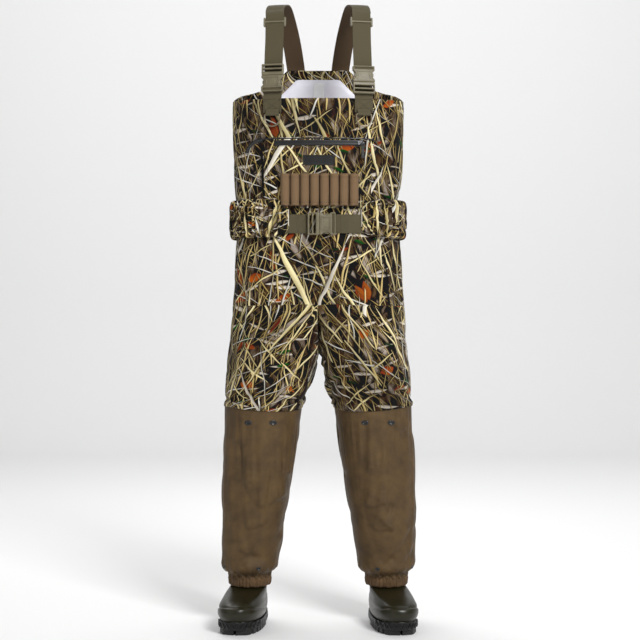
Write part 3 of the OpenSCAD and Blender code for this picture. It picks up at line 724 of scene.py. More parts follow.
def creases(x, z, u, side):
    """Folds that hang over on their upper side and step in sharply below."""
    total = np.zeros_like(x)
    for x0, z0, x1, z1, size in CREASES[side]:
        along = np.array([x1 - x0, z1 - z0])
        span = np.hypot(*along)
        along /= span
        if along[0] < 0:
            x0, z0, along = x1, z1, -along
        share = ((x - x0) * along[0] + (z - z0) * along[1]) / span
        off = -(x - x0) * along[1] + (z - z0) * along[0] + 0.003 * np.sin(share * 5)
        ends = smooth((share + 0.12) / 0.3) * smooth((1.12 - share) / 0.3)
        step = np.where(off > 0, np.exp(-off / 0.042), -0.8 * np.exp(off / 0.026)) * (1 - np.exp(-np.abs(off) / 0.0050))
        total += 1.9 * size * ends * step
    x0, x1, z0, z1 = VALLEYS[side]
    line = x0 + (x1 - x0) * np.clip((z0 - z) / (z0 - z1), 0, 1)
    ends = smooth((z0 + 0.02 - z) / 0.04) * smooth((z - z1 + 0.02) / 0.04)
    total -= 0.006 * ends * np.exp(-((x - line) / 0.013) ** 2)
    return total * smooth(np.cos(np.radians(u)) / 0.35)


def make_gaiter(side, materials):
    name = "left" if side < 0 else "right"
    bm = bmesh.new()
    cols, rows = 144, 120
    around = np.linspace(-90, 270, cols + 1)
    z = np.linspace(CUFF_TOP - 0.004, KNEE_Z + 0.003, rows)[:, None] + 0 * around[None, :]
    lower = z - knee_dip(around[None, :], z)
    points = leg_pt(around[None, :], lower, -0.0018)
    s = arc_length(points)
    up = np.linspace(0, 1, rows)[:, None]
    seed = 70 if side < 0 else 91
    pleats = np.sin(s / s[:, -1:] * 2 * math.pi * 23 + 5 * grain(up * 4, s * 9, seed))
    gather = pleats * 0.0034 * np.exp(-(z - CUFF_TOP) / 0.026)
    blouse = 0.012 * np.exp(-((z - 0.164) / 0.020) ** 2)
    folds = -ridge(s * 4 + z * 5, z * 9 - s * 4, seed) * 0.007 - ridge(s * 5 - z * 9, z * 6 + s * 4, seed + 3) * 0.005
    folds += (grain(s * 8, z * 8, seed + 5) - 0.5) * 0.008
    folds = folds * (1 - 0.7 * smooth(np.cos(np.radians(around))[None, :] / 0.6))
    folds += creases(points[..., 0] * side, lower, around[None, :] + 0 * z, side)
    ends = smooth((KNEE_Z - z) / 0.05) * smooth((z - CUFF_TOP) / 0.03)
    full = 0.0065 + 0.006 * (side > 0) * np.maximum(np.sin(np.radians(around)), 0)[None, :] ** 2
    full = full * smooth((KNEE_Z - z) / 0.09) * smooth((z - CUFF_TOP) / 0.06)
    points += normals_of(points) * (gather + blouse + full + folds * ends)[..., None]
    points[:, -1] = points[:, 0]
    uv = np.stack([s + 0.9 * side, z], -1)
    points[..., 0] *= side
    add_grid(bm, points[:, :-1], uv, wrap=True, flip=side < 0)
    gaiter = to_object(bm, f"{name}_gaiter", materials["gaiter"])
    row = np.arange(len(gaiter.data.vertices)) // cols
    held = (row >= rows - 2) | (row < 2)
    settle(gaiter, held.astype(float), frames=22, growth=0.028, pressure=0.3, gravity=0.8, cap=0.008, bending=0.4)
    solidify(gaiter, 0.0016)
    subdivide(gaiter)
    apply_modifiers(gaiter)
    place(gaiter, GARMENT, "gaiter_cloth", f"{name}_lower_leg")
    return gaiter


def make_cuff(side, materials):
    """The gathered cuff: a pleated roll over the elastic, with two lines of shirring."""
    name = "left" if side < 0 else "right"
    centre = np.array([table(CUFF_TOP, LEG_X_ROWS), table(CUFF_TOP, LEG_Y_ROWS)])
    half_w, half_d = table(CUFF_TOP, LEG_W_ROWS), table(CUFF_TOP, LEG_D_ROWS)
    cols = 220
    u = np.linspace(0, 2 * math.pi, cols + 1)
    profile = [(-0.0140, -0.0040), (-0.0140, -0.0018), (-0.0122, 0.0010), (-0.0080, 0.0018), (-0.0045, 0.0016),
               (-0.0010, 0.0024), (0.0030, 0.0024), (0.0068, 0.0014), (0.0100, 0.0016), (0.0128, 0.0010),
               (0.0142, -0.0016), (0.0142, -0.0040)]
    middle = CUFF_TOP - CUFF_H / 2
    rows = []
    for dz, d in profile:
        phase = u * 19 + 2.6 * grain(u * 5, u * 0 + dz * 50, 8) + 0.5 * side
        pleat = -0.0030 * (1 - np.abs(np.sin(phase)) ** 0.45) * 1.5 + 0.0008 * np.sin(phase * 3.1)
        pleat *= smooth((d + 0.004) / 0.004)
        reach = d + pleat - 0.0008
        z = middle + dz + 0.0010 * np.sin(u * 13 + dz * 200) * (d > -0.002)
        x = centre[0] + (half_w + reach) * np.sin(u)
        y = centre[1] - (half_d + reach) * np.cos(u)
        rows.append(np.stack([x * side, y, z], -1))
    points = np.array(rows)
    bm = bmesh.new()
    add_grid(bm, points[:, :-1], None, wrap=True, flip=side < 0)
    cuff = to_object(bm, f"{name}_cuff", materials["cuff"])
    solidify(cuff, 0.001)
    subdivide(cuff)
    apply_modifiers(cuff)
    place(cuff, GARMENT, "cuff_elastic", f"{name}_ankle_cuff")


# ---------- inside of the back bib ----------

def make_inside(materials):
    """The pale lining, the camouflage facing along the bib's edge, and a blank label."""
    angles = np.linspace(104, 256, 97)
    edge = top_edge(angles)
    facing_h, base = 0.030, YOKE_Z - 0.14
    out_from_middle = np.abs(body_pt(angles, np.full_like(angles, 1.44))[..., 0])
    seam = np.minimum(edge - facing_h, BACK_TOP - facing_h - np.maximum(0.0, out_from_middle - 0.061))
    seam = np.maximum(seam, FRONT_TOP - 0.030)
    for name, low, high, d, mat, slot, node, flat in (
            ("lining", base, seam + 0.004, -0.0066, "lining", "lining", "torso_lining", (0.58, 0.18)),
            ("bib_facing_strip", seam, edge - 0.0015, -0.0050, "camo", "camo_cloth", "bib_facing", (0.62, 0.052))):
        v = np.linspace(0, 1, 14)[:, None]
        z = low + v * (high - low)
        points = body_pt(angles[None, :], z, d)
        if name == "lining":
            points[..., 1] -= ridge(arc_length(points) * 12, z * 3, 17) * 0.0012
        s = arc_length(points)
        bm = bmesh.new()
        add_grid(bm, points, np.stack([s * 1.0 + 3.3, z + 1.9], -1), flip=True)
        piece = to_object(bm, name, materials[mat])
        solidify(piece, 0.0009, offset=-1.0)
        apply_modifiers(piece)
        place(piece, GARMENT, slot, node)

    low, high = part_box("care_label")
    bm = bmesh.new()
    xs = np.linspace(low.x, high.x, 8)[None, :]
    zs = np.linspace(low.z, high.z, 14)[:, None]
    y = high.y - 0.0012 - 0.0014 * smooth((0.03 - (zs - low.z)) / 0.03) + 0 * xs
    points = np.stack(np.broadcast_arrays(xs, y, zs), -1)
    add_grid(bm, points)
    label = to_object(bm, "blank_label", materials["label"])
    solidify(label, 0.0006)
    bevel(label, 0.0002, 1)
    apply_modifiers(label)
    place(label, GARMENT, "label", "care_label")


# ---------- thread, plates and webbing ----------

def add_stitch(bm, start, end, normal, radius=0.00045):
    """One stitch: a small rounded bar from start to end, a little sunk into the cloth."""
    start, end, normal = Vector(start), Vector(end), Vector(normal).normalized()
    along = (end - start).normalized()
    side = along.cross(normal) * radius * 1.2
    lift = normal * radius
    rings = []
    for share, size in ((0.15, 0.8), (0.85, 0.8)):
        centre = start.lerp(end, share) + lift * 0.5
        ring = [centre + (side * math.cos(a) + lift * math.sin(a)) * size
                for a in (0, math.pi / 3, 2 * math.pi / 3, math.pi, 1.5 * math.pi)]
        rings.append([bm.verts.new(p) for p in ring])
    tips = [bm.verts.new(start - lift * 0.4), bm.verts.new(end - lift * 0.4)]
    for k in range(5):
        a, b = rings[0][k], rings[0][(k + 1) % 5]
        c, d = rings[1][k], rings[1][(k + 1) % 5]
        for corners in ((a, b, d, c), (tips[0], b, a), (c, d, tips[1])):
            bm.faces.new(corners).smooth = True


def stitch_run(bm, path, normal_at, pitch=0.0034, share=0.72, radius=0.00045):
    """Stitches along a polyline; normal_at gives the outward direction at a point."""
    path = [Vector(p) for p in path]
    lengths = [0.0]
    for a, b in zip(path, path[1:]):
        lengths.append(lengths[-1] + (b - a).length)

    def at(s):
        s = min(max(s, 0.0), lengths[-1])
        k = min(int(np.searchsorted(lengths, s, side="right")) - 1, len(path) - 2)
        return path[k].lerp(path[k + 1], (s - lengths[k]) / max(lengths[k + 1] - lengths[k], 1e-9))

    count = max(1, round(lengths[-1] / pitch))
    step = lengths[-1] / count
    for k in range(count):
        a, b = at((k + (1 - share) / 2) * step), at((k + (1 + share) / 2) * step)
        add_stitch(bm, a, b, normal_at((a + b) / 2), radius)


def out_of_bib(p):
    """The outward direction of the body's surface at a point in front or behind."""
    t = math.atan2(p.x / (body_w(p.z)), -(p.y - BODY_Y) / body_d(p.z))
    w, d, n = body_w(p.z), body_d(p.z), BODY_POWER
    x = abs(math.sin(t)) ** (2 - 2 / n) / w * (1 if p.x > 0 else -1)
    y = -abs(math.cos(t)) ** (2 - 2 / n) / d * (1 if p.y < BODY_Y else -1)
    return Vector((x, y, 0)).normalized()


def bib_path(x0, z0, x1, z1, lift, count=24):
    share = np.linspace(0, 1, count)
    return front_pt(x0 + (x1 - x0) * share, z0 + (z1 - z0) * share, lift)


def plate(name, outlines, depth, rounding, material, matrix, middle=0.0):
    """A moulded plate in the local XZ plane, with rounded edges; every outline after the first is a hole."""
    curve = bpy.data.curves.new(name, "CURVE")
    curve.dimensions = "2D"
    curve.fill_mode = "BOTH"
    curve.extrude = depth / 2 - rounding
    curve.bevel_depth = rounding
    curve.bevel_resolution = 2
    curve.offset = -rounding
    for outline in outlines:
        spline = curve.splines.new("POLY")
        spline.points.add(len(outline) - 1)
        for point, (x, z) in zip(spline.points, outline):
            point.co = (x, z, 0, 1)
        spline.use_cyclic_u = True
    source = bpy.data.objects.new(name, curve)
    bpy.context.collection.objects.link(source)
    depsgraph = bpy.context.evaluated_depsgraph_get()
    mesh = bpy.data.meshes.new_from_object(source.evaluated_get(depsgraph))
    bpy.data.objects.remove(source)
    mesh.transform(matrix @ Matrix.Translation((0, middle, 0)) @ Matrix.Rotation(math.pi / 2, 4, "X"))
    if matrix.determinant() < 0:
        mesh.flip_normals()
    mesh.materials.clear()
    mesh.materials.append(material)
    obj = bpy.data.objects.new(name, mesh)
    bpy.context.collection.objects.link(obj)
    shade_by_angle(obj, 40)
    return obj


def join(objs, name):
    """Joins meshes into the first one."""
    bm = bmesh.new()
    materials = []
    for obj in objs:
        first = len(bm.faces)
        bm.from_mesh(obj.data)
        bm.faces.ensure_lookup_table()
        for face in bm.faces[first:]:
            mat = obj.data.materials[face.material_index]
            if mat not in materials:
                materials.append(mat)
            face.material_index = materials.index(mat)
    joined = to_object(bm, name, *materials)
    for obj in objs:
        bpy.data.objects.remove(obj)
    return joined


def rounded(x0, z0, x1, z1, r, steps=4):
    """Outline of a rectangle with round corners."""
    points = []
    for cx, cz, start in ((x1 - r, z1 - r, 0), (x0 + r, z1 - r, 90), (x0 + r, z0 + r, 180), (x1 - r, z0 + r, 270)):
        for k in range(steps + 1):
            a = math.radians(start + 90 * k / steps)
            points.append((cx + r * math.cos(a), cz + r * math.sin(a)))
    return points


def smooth_route(points, count):
    """A smooth curve through the points, as evenly spaced rows of numbers."""
    points = np.array(points, float)
    ends = np.vstack([2 * points[0] - points[1], points, 2 * points[-1] - points[-2]])
    dense = []
    for k in range(len(points) - 1):
        a, b, c, d = ends[k:k + 4]
        for t in np.linspace(0, 1, 24, endpoint=False):
            dense.append(0.5 * (2 * b + (c - a) * t + (2 * a - 5 * b + 4 * c - d) * t ** 2
                                + (3 * b - a - 3 * c + d) * t ** 3))
    dense.append(points[-1])
    dense = np.array(dense)
    length = np.concatenate([[0], np.cumsum(np.linalg.norm(np.diff(dense[:, :3], axis=0), axis=1))])
    even = np.linspace(0, length[-1], count)
    return np.stack([np.interp(even, length, dense[:, k]) for k in range(dense.shape[1])], -1), even


def webbing_strip(name, route, width, thickness, materials, side=1, count=60, ripple=0.0):
    """Webbing along rows of x, y, z and yaw; the first material is its outer face, the second its inner one."""
    rows, along = smooth_route(route, count)
    spots, yaw = rows[:, :3], np.radians(rows[:, 3])
    across = np.stack([np.cos(yaw), np.sin(yaw), 0 * yaw], -1)
    tangent = np.gradient(spots, axis=0)
    tangent /= np.linalg.norm(tangent, axis=1, keepdims=True)
    out = np.cross(across, tangent)
    out /= np.linalg.norm(out, axis=1, keepdims=True)
    across = np.cross(tangent, out)
    half, t = width / 2, thickness / 2
    section = [(-half + t * 0.5, t), (-half / 2, t), (0, t), (half / 2, t), (half - t * 0.5, t), (half, t * 0.35),
               (half, -t * 0.35), (half - t * 0.5, -t), (half / 2, -t), (0, -t), (-half / 2, -t),
               (-half + t * 0.5, -t), (-half, -t * 0.35), (-half, t * 0.35)]
    bm = bmesh.new()
    layer = bm.loops.layers.uv.new("print")
    rings = []
    for k in range(count):
        wave = ripple * math.sin(along[k] * 55)
        ring = []
        for x, y in section:
            bend = wave * (x / half) ** 2
            p = spots[k] + across[k] * x + out[k] * (y + bend)
            ring.append(bm.verts.new((p[0] * side, p[1], p[2])))
        rings.append(ring)
    size = len(section)
    for k in range(count - 1):
        for j in range(size):
            a, b = j, (j + 1) % size
            corners = [(k, a), (k, b), (k + 1, b), (k + 1, a)]
            face = bm.faces.new([rings[r][c] for r, c in corners])
            for loop, (r, c) in zip(face.loops, corners):
                loop[layer].uv = (section[c][0] + half, along[r])
            face.smooth = True
            face.material_index = 1 if section[a][1] + section[b][1] < 0 else 0
    bm.faces.new(rings[0])
    bm.faces.new(rings[-1][::-1])
    bmesh.ops.recalc_face_normals(bm, faces=bm.faces)
    strip = to_object(bm, name, *materials)
    shade_by_angle(strip, 50)
    return strip


def tube(bm, points, radius, sides=8, closed=False, taper=None):
    """A round wire along the points."""
    points = [Vector(p) for p in points]
    rings = []
    count = len(points)
    normal = None
    for k, p in enumerate(points):
        before = points[(k - 1) % count] if closed or k else points[0]
        after = points[(k + 1) % count] if closed or k < count - 1 else points[-1]
        tangent = (after - before).normalized()
        if normal is None:
            normal = tangent.orthogonal().normalized()
        normal = (normal - tangent * normal.dot(tangent)).normalized()
        other = tangent.cross(normal)
        r = radius if taper is None else radius * taper(k / (count - 1))
        rings.append([bm.verts.new(p + (normal * math.cos(a) + other * math.sin(a)) * r)
                      for a in np.linspace(0, 2 * math.pi, sides, endpoint=False)])
    for k in range(count if closed else count - 1):
        a, b = rings[k], rings[(k + 1) % count]
        for j in range(sides):
            bm.faces.new((a[j], a[(j + 1) % sides], b[(j + 1) % sides], b[j])).smooth = True
    if not closed:
        bm.faces.new(rings[0][::-1])
        bm.faces.new(rings[-1])


# ---------- chest pocket, zip and shell loops ----------

POCKET = (-0.141, 0.138, 1.098, 1.277)
ZIP_Z, ZIP_R = 1.267, 0.7082
ZIP_Y = BODY_Y - 0.136 + 0.708


def zip_arc(degrees, lift, z):
    a = np.radians(degrees)
    x, y = (ZIP_R + lift) * np.sin(a), ZIP_Y - (ZIP_R + lift) * np.cos(a)
    return np.stack(np.broadcast_arrays(x, y, z), -1)


def bib_patch(name, material, box, lift, cols, rows, thickness=0.0009, offset=-1.0):
    """A piece of cloth on the front of the bib, with lift(x, z) metres under its outer face."""
    x0, x1, z0, z1 = box
    x = np.linspace(x0, x1, cols)[None, :] + np.zeros((rows, 1))
    z = np.linspace(z0, z1, rows)[:, None] + np.zeros((1, cols))
    bm = bmesh.new()
    add_grid(bm, front_pt(x, z, lift(x, z)), np.stack([x + 2.3, z - 0.4], -1))
    piece = to_object(bm, name, material)
    solidify(piece, thickness, offset)
    return piece


def stitching(name, paths, material, slot, body=GARMENT, pitch=0.0034, radius=0.00045, normal_at=out_of_bib):
    bm = bmesh.new()
    for path in paths:
        stitch_run(bm, path, normal_at, pitch, radius=radius)
    thread = to_object(bm, name, material)
    place(thread, body, slot)
    return thread


def pocket_lift(x, z):
    x0, x1, z0, z1 = POCKET
    edge = np.minimum(np.minimum(x - x0, x1 - x), np.minimum(z - z0, (z1 - z) + 0.02))
    hem = 0.0008 * smooth(edge / 0.0016) - 0.0006 * np.exp(-((edge - 0.0065) / 0.0014) ** 2)
    welt = 0.0006 * smooth((z - 1.250) / 0.009) * smooth((0.118 - np.abs(x)) / 0.012)
    flat = smooth((z - 1.186) / 0.010) * smooth((1.257 - z) / 0.010)
    flat = np.maximum(flat, smooth((np.abs(x - 0.0035) - 0.104) / 0.008) * smooth((1.262 - z) / 0.01))
    label = smooth((0.052 - np.abs(x - 0.002)) / 0.01) * smooth((z - 1.200) / 0.006)
    free = flat * (1 - label)
    puff = 0.0016 * free + 0.0034 * (grain(x * 17, z * 26, 41) - 0.4) * free
    crease = -0.0020 * ridge(x * 14 + z * 2, z * 12, 43) * free
    side_fold = -0.0022 * ridge(x * 7, z * 14 - x * 4, 47) * smooth((np.abs(x) - 0.09) / 0.02)
    return 0.0013 + hem + welt + (puff + crease + side_fold) * smooth(edge / 0.01)


def make_pocket(m):
    pocket = bib_patch("chest_pocket_panel", m["camo"], POCKET, pocket_lift, 131, 88, 0.0012)
    apply_modifiers(pocket)
    place(pocket, GARMENT, "camo_cloth", "chest_pocket")
    x0, x1, z0, z1 = POCKET
    runs = []
    for inset in (0.0035, 0.0095):
        corners = [(x0 + inset, z1 - 0.003), (x0 + inset, z0 + inset), (x1 - inset, z0 + inset),
                   (x1 - inset, z1 - 0.003)]
        for a, b in zip(corners, corners[1:]):
            share = np.linspace(0, 1, 60)
            x, z = a[0] + (b[0] - a[0]) * share, a[1] + (b[1] - a[1]) * share
            runs.append(front_pt(x, z, pocket_lift(x, z) + 0.0002))
    x = np.linspace(x0 + 0.004, x1 - 0.004, 90)
    runs.append(front_pt(x, 1.2745 + 0 * x, pocket_lift(x, 1.2745 + 0 * x) + 0.0002))
    x = np.linspace(-0.112, 0.112, 80)
    runs.append(front_pt(x, 1.2575 + 0 * x, pocket_lift(x, 1.2575 + 0 * x) + 0.0002))
    stitching("pocket_stitching", runs, m["thread"], "camo_cloth")

    flap = bib_patch("zip_flap", m["camo"], (-0.119, 0.119, 1.2738, 1.2815),
                     lambda x, z: 0.0046 - 0.0032 * smooth((z - 1.2755) / 0.006), 110, 8, 0.0010)
    apply_modifiers(flap)
    place(flap, GARMENT, "camo_cloth")

    angles = np.linspace(-9.2, 9.5, 160)[None, :]
    profile = [(-0.0073, -0.0012), (-0.0071, 0.0), (-0.0062, 0.0004), (-0.0020, 0.0004), (-0.0006, 0.0001),
               (0.0006, 0.0001), (0.0020, 0.0004), (0.0062, 0.0004), (0.0071, 0.0), (0.0073, -0.0012)]
    z = ZIP_Z + np.array([p[0] for p in profile])[:, None]
    lift = np.array([p[1] for p in profile])[:, None]
    bm = bmesh.new()
    add_grid(bm, zip_arc(angles, lift, z))
    tape = to_object(bm, "zip_band", m["zip"])
    place(tape, GARMENT, "zip_tape", "chest_zip_tape")
    runs = [zip_arc(np.linspace(-9.0, 9.3, 90), 0.0005, ZIP_Z + o) for o in (-0.0050, 0.0050)]
    stitching("zip_stitching", runs, m["thread_dark"], "zip_tape", pitch=0.0028, radius=0.0003)

    turn = math.radians(8.9)
    at = Matrix.Translation((0, ZIP_Y, 0)) @ Matrix.Rotation(turn, 4, "Z") @ Matrix.Translation((0, -0.7085, ZIP_Z))
    body = [(-0.007, -0.0042), (-0.005, -0.005), (0.002, -0.0040), (0.007, -0.0027), (0.007, 0.0027),
            (0.002, 0.0040), (-0.005, 0.005), (-0.007, 0.0042)]
    parts = [plate("slider_top", [body], 0.0014, 0.0006, m["chrome"], at, -0.0023),
             plate("slider_base", [body], 0.0012, 0.0005, m["chrome"], at, -0.0006),
             plate("slider_post", [rounded(-0.0055, -0.0022, -0.0005, 0.0022, 0.001)], 0.003, 0.0003,
                   m["chrome"], at, -0.0015)]
    bm = bmesh.new()
    arch = [at @ Vector((0.0055, y, z)) for y, z in
            ((-0.0028, -0.0036), (-0.0052, -0.0036), (-0.0074, -0.0026), (-0.0080, 0), (-0.0074, 0.0026),
             (-0.0052, 0.0036), (-0.0028, 0.0036))]
    tube(bm, arch, 0.0009, 8)
    parts.append(to_object(bm, "slider_lug", m["chrome"]))
    slider = join(parts, "slider")
    place(slider, "zip_slider", "slider_metal", "zip_slider")

    at = at @ Matrix.Translation((0.0055, -0.0062, 0))
    half = [(0.0052, 0.0006), (0.0052, -0.0085), (0.0046, -0.0115), (0.0039, -0.0140), (0.0038, -0.0260),
            (0.0043, -0.0330), (0.0045, -0.0375), (0.0032, -0.0398)]
    outline = half + [(-x, z) for x, z in reversed(half)]
    window = [(-0.0024, 0.0), (-0.0024, -0.0078), (0.0024, -0.0078), (0.0024, 0.0)]
    tab = plate("pull_tab", [outline, window], 0.0022, 0.0006, m["black"], at)
    bm = bmesh.new()
    tube(bm, [at @ Vector((x, 0, 0)) for x in (-0.0048, -0.0024, 0.0, 0.0024, 0.0048)], 0.0011, 12)
    for k in range(6):
        z = -0.0180 - 0.0028 * k
        tube(bm, [at @ Vector((x, -0.0011, z)) for x in (-0.0024, 0, 0.0024)], 0.0005, 6)
    pull = join([tab, to_object(bm, "pull_pin", m["black"])], "pull")
    place(pull, "zip_pull", "pull_rubber", "zip_pull")


def make_piping(m):
    route = [(-0.1445, 1.2770), (-0.158, 1.2748), (-0.171, 1.2680), (-0.181, 1.2570), (-0.1865, 1.2440)]
    even, _ = smooth_route(route, 40)
    points = front_pt(even[:, 0], even[:, 1], 0.0022)
    bm = bmesh.new()
    tube(bm, points, 0.0021, 10, taper=lambda s: 0.55 + 0.45 * min(1, 8 * s, 8 * (1 - s)))
    top, _ = smooth_route([(-0.146, 1.2778), (-0.06, 1.2782), (0.06, 1.2782), (0.128, 1.2778), (0.146, 1.2735),
                           (0.154, 1.2620)], 110)
    lift = 0.0030 + 0.0016 * smooth((0.121 - np.abs(top[:, 0])) / 0.006)
    tube(bm, front_pt(top[:, 0], top[:, 1], lift), 0.0016, 8)
    direction = np.gradient(even, axis=0)
    direction /= np.linalg.norm(direction, axis=1, keepdims=True)
    normal = np.stack([direction[:, 1], -direction[:, 0]], -1)
    rows = [front_pt(even[:, 0] + normal[:, 0] * o, even[:, 1] + normal[:, 1] * o, d)
            for o, d in ((-0.0045, 0.0006), (-0.0040, 0.0012), (0.0, 0.0016), (0.0040, 0.0012), (0.0045, 0.0006))]
    add_grid(bm, np.array(rows), flip=True)
    piping = to_object(bm, "pocket_piping", m["piping"])
    place(piping, GARMENT, "zip_tape", "handwarmer_piping")
    runs = [front_pt(even[:, 0] + normal[:, 0] * o, even[:, 1] + normal[:, 1] * o, 0.0007) for o in (-0.0068, 0.0068)]
    stitching("piping_stitching", runs, m["thread"], "camo_cloth")


def make_patch(m):
    x0, x1, z0, z1 = -0.039, 0.043, 1.209, 1.235

    def lift(x, z):
        edge = np.minimum(np.minimum(x - x0, x1 - x), np.minimum(z - z0, z1 - z))
        return 0.0036 + 0.0010 * smooth(edge / 0.0009) - 0.0005 * smooth((edge - 0.0016) / 0.0009)

    patch = bib_patch("blank_patch", m["patch"], (x0, x1, z0, z1), lift, 90, 38, 0.0012)
    apply_modifiers(patch)
    place(patch, GARMENT, "patch", "name_patch")
    inset, d = 0.0012, 0.0047
    runs = [bib_path(x0 + inset, z0 + inset, x1 - inset, z0 + inset, d),
            bib_path(x0 + inset, z1 - inset, x1 - inset, z1 - inset, d),
            bib_path(x0 + inset, z0 + inset, x0 + inset, z1 - inset, d),
            bib_path(x1 - inset, z0 + inset, x1 - inset, z1 - inset, d)]
    stitching("patch_stitching", runs, m["thread_dark"], "patch", pitch=0.0025, radius=0.0003)


LOOPS_X, LOOPS_W, LOOPS_Z0, LOOPS_Z1, LOOP_COUNT = 0.0035, 0.203, 1.104, 1.186, 8


def make_shell_loops(m):
    backing = bib_patch("loop_backing", m["elastic"], (LOOPS_X - LOOPS_W / 2, LOOPS_X + LOOPS_W / 2,
                        LOOPS_Z0, LOOPS_Z1), lambda x, z: 0.0034 + 0 * x, 80, 12, 0.0010)
    apply_modifiers(backing)
    place(backing, GARMENT, "elastic", "shell_loop_backing")

    pitch, r = LOOPS_W / LOOP_COUNT, 0.0121
    across, lean = [], []
    for k in range(LOOP_COUNT):
        centre = LOOPS_X - LOOPS_W / 2 + (k + 0.5) * pitch
        across.append((centre - pitch / 2 + 0.0008, None, centre))
        for phi in np.radians(np.linspace(-122, 122, 19)):
            across.append((math.sin(phi), math.cos(phi), centre))
        across.append((centre + pitch / 2 - 0.0008, None, centre))
    levels = [(0.0, 0.90), (0.002, 0.91), (0.006, 0.93), (0.0075, 0.905), (0.011, 0.95), (0.020, 0.985),
              (0.034, 1.0), (0.050, 1.0), (0.064, 0.995), (0.071, 0.99), (0.0725, 0.965), (0.074, 0.99),
              (0.0795, 0.995), (0.082, 0.985)]
    rows = []
    for height, size in levels:
        row = []
        for j, (a, b, centre) in enumerate(across):
            z = LOOPS_Z0 + height + 0.0011 * math.sin(j * 0.83 + 1.3) * max(0.0, 1 - height / 0.012)
            base = float(front_y(centre, LOOPS_Z1, 0.0042))
            if b is None:
                row.append((a, float(front_y(a, z, 0.0044)), z))
            else:
                wobble = 1 + 0.02 * math.sin(j * 2.4) * max(0.0, 1 - height / 0.015)
                y = base - 0.55 * r - r * b * size * wobble
                row.append((centre + r * a * size * wobble, y, z))
        rows.append(row)
    points = np.array(rows)
    bm = bmesh.new()
    s = arc_length(points)
    add_grid(bm, points, np.stack([s, points[..., 2]], -1))
    loops = to_object(bm, "elastic_loops", m["elastic"])
    solidify(loops, 0.0012)
    subdivide(loops)
    apply_modifiers(loops)
    place(loops, GARMENT, "elastic", "shell_loops")

    def out(p):
        k = min(range(LOOP_COUNT), key=lambda i: abs(p.x - (LOOPS_X - LOOPS_W / 2 + (i + 0.5) * pitch)))
        centre = LOOPS_X - LOOPS_W / 2 + (k + 0.5) * pitch
        return Vector((p.x - centre, p.y - float(front_y(centre, LOOPS_Z1, 0.0042)) + 0.55 * r, 0))

    runs = [np.array([q for q in points[i]]) + np.array([0, -0.0002, 0]) for i in (3, 10)]
    stitching("loop_stitching", runs, m["thread_dark"], "elastic", pitch=0.0031, radius=0.00036, normal_at=out)
    bars = []
    for k in range(LOOP_COUNT + 1):
        x = LOOPS_X - LOOPS_W / 2 + min(max(k, 0.06), LOOP_COUNT - 0.06) * pitch
        bars.append(bib_path(x, LOOPS_Z0 + 0.003, x, LOOPS_Z1 - 0.003, 0.0046))
    stitching("loop_bar_stitching", bars, m["thread_dark"], "elastic", pitch=0.0028, radius=0.00036)


# ---------- belt ----------

BELT_Z, BELT_D, WEB_W, WEB_T = 1.057, 0.002, 0.049, 0.0026


def side_angle(x, d):
    """Angle round the body at which its surface reaches x."""
    return math.degrees(math.asin((abs(x) / (float(body_w(BELT_Z)) + d)) ** (BODY_POWER / 2)))


def make_belt(m):
    start, finish = side_angle(0.040, BELT_D), side_angle(0.022, BELT_D)
    angles = np.linspace(start, 360 - finish, 150)
    half, t = WEB_W / 2, WEB_T
    section = [(-half, 0.0006), (-half, t - 0.0006), (-half + 0.0008, t), (-half / 2, t), (0, t), (half / 2, t),
               (half - 0.0008, t), (half, t - 0.0006), (half, 0.0006), (half - 0.0008, 0), (-half + 0.0008, 0),
               (-half, 0.0006)]
    rows = np.array([body_pt(angles, BELT_Z + z, BELT_D + d) for z, d in section])
    s = arc_length(rows)
    u = np.array([z + half for z, d in section])[:, None] + 0 * s
    bm = bmesh.new()
    add_grid(bm, rows, np.stack([u, s], -1))
    bm.faces.ensure_lookup_table()
    belt = to_object(bm, "belt_strap", m["webbing"])
    shade_by_angle(belt, 50)
    place(belt, GARMENT, "webbing", "belt_webbing")
    runs = []
    for x0, x1 in ((-0.030, -0.056), (0.058, 0.076)):
        for x in (x0, x1):
            runs.append([front_pt(x, BELT_Z + z, BELT_D + t + 0.0002) for z in np.linspace(-0.021, 0.021, 12)])
        for z in (-0.021, 0.021):
            runs.append(bib_path(x0, BELT_Z + z, x1, BELT_Z + z, BELT_D + t + 0.0002, 10))
        runs.append(bib_path(x0, BELT_Z - 0.021, x1, BELT_Z + 0.021, BELT_D + t + 0.0002, 12))
        runs.append(bib_path(x0, BELT_Z + 0.021, x1, BELT_Z - 0.021, BELT_D + t + 0.0002, 12))
    stitching("belt_stitching", runs, m["thread"], "webbing")


SLEEVE_Z0, SLEEVE_Z1 = 1.021, 1.124


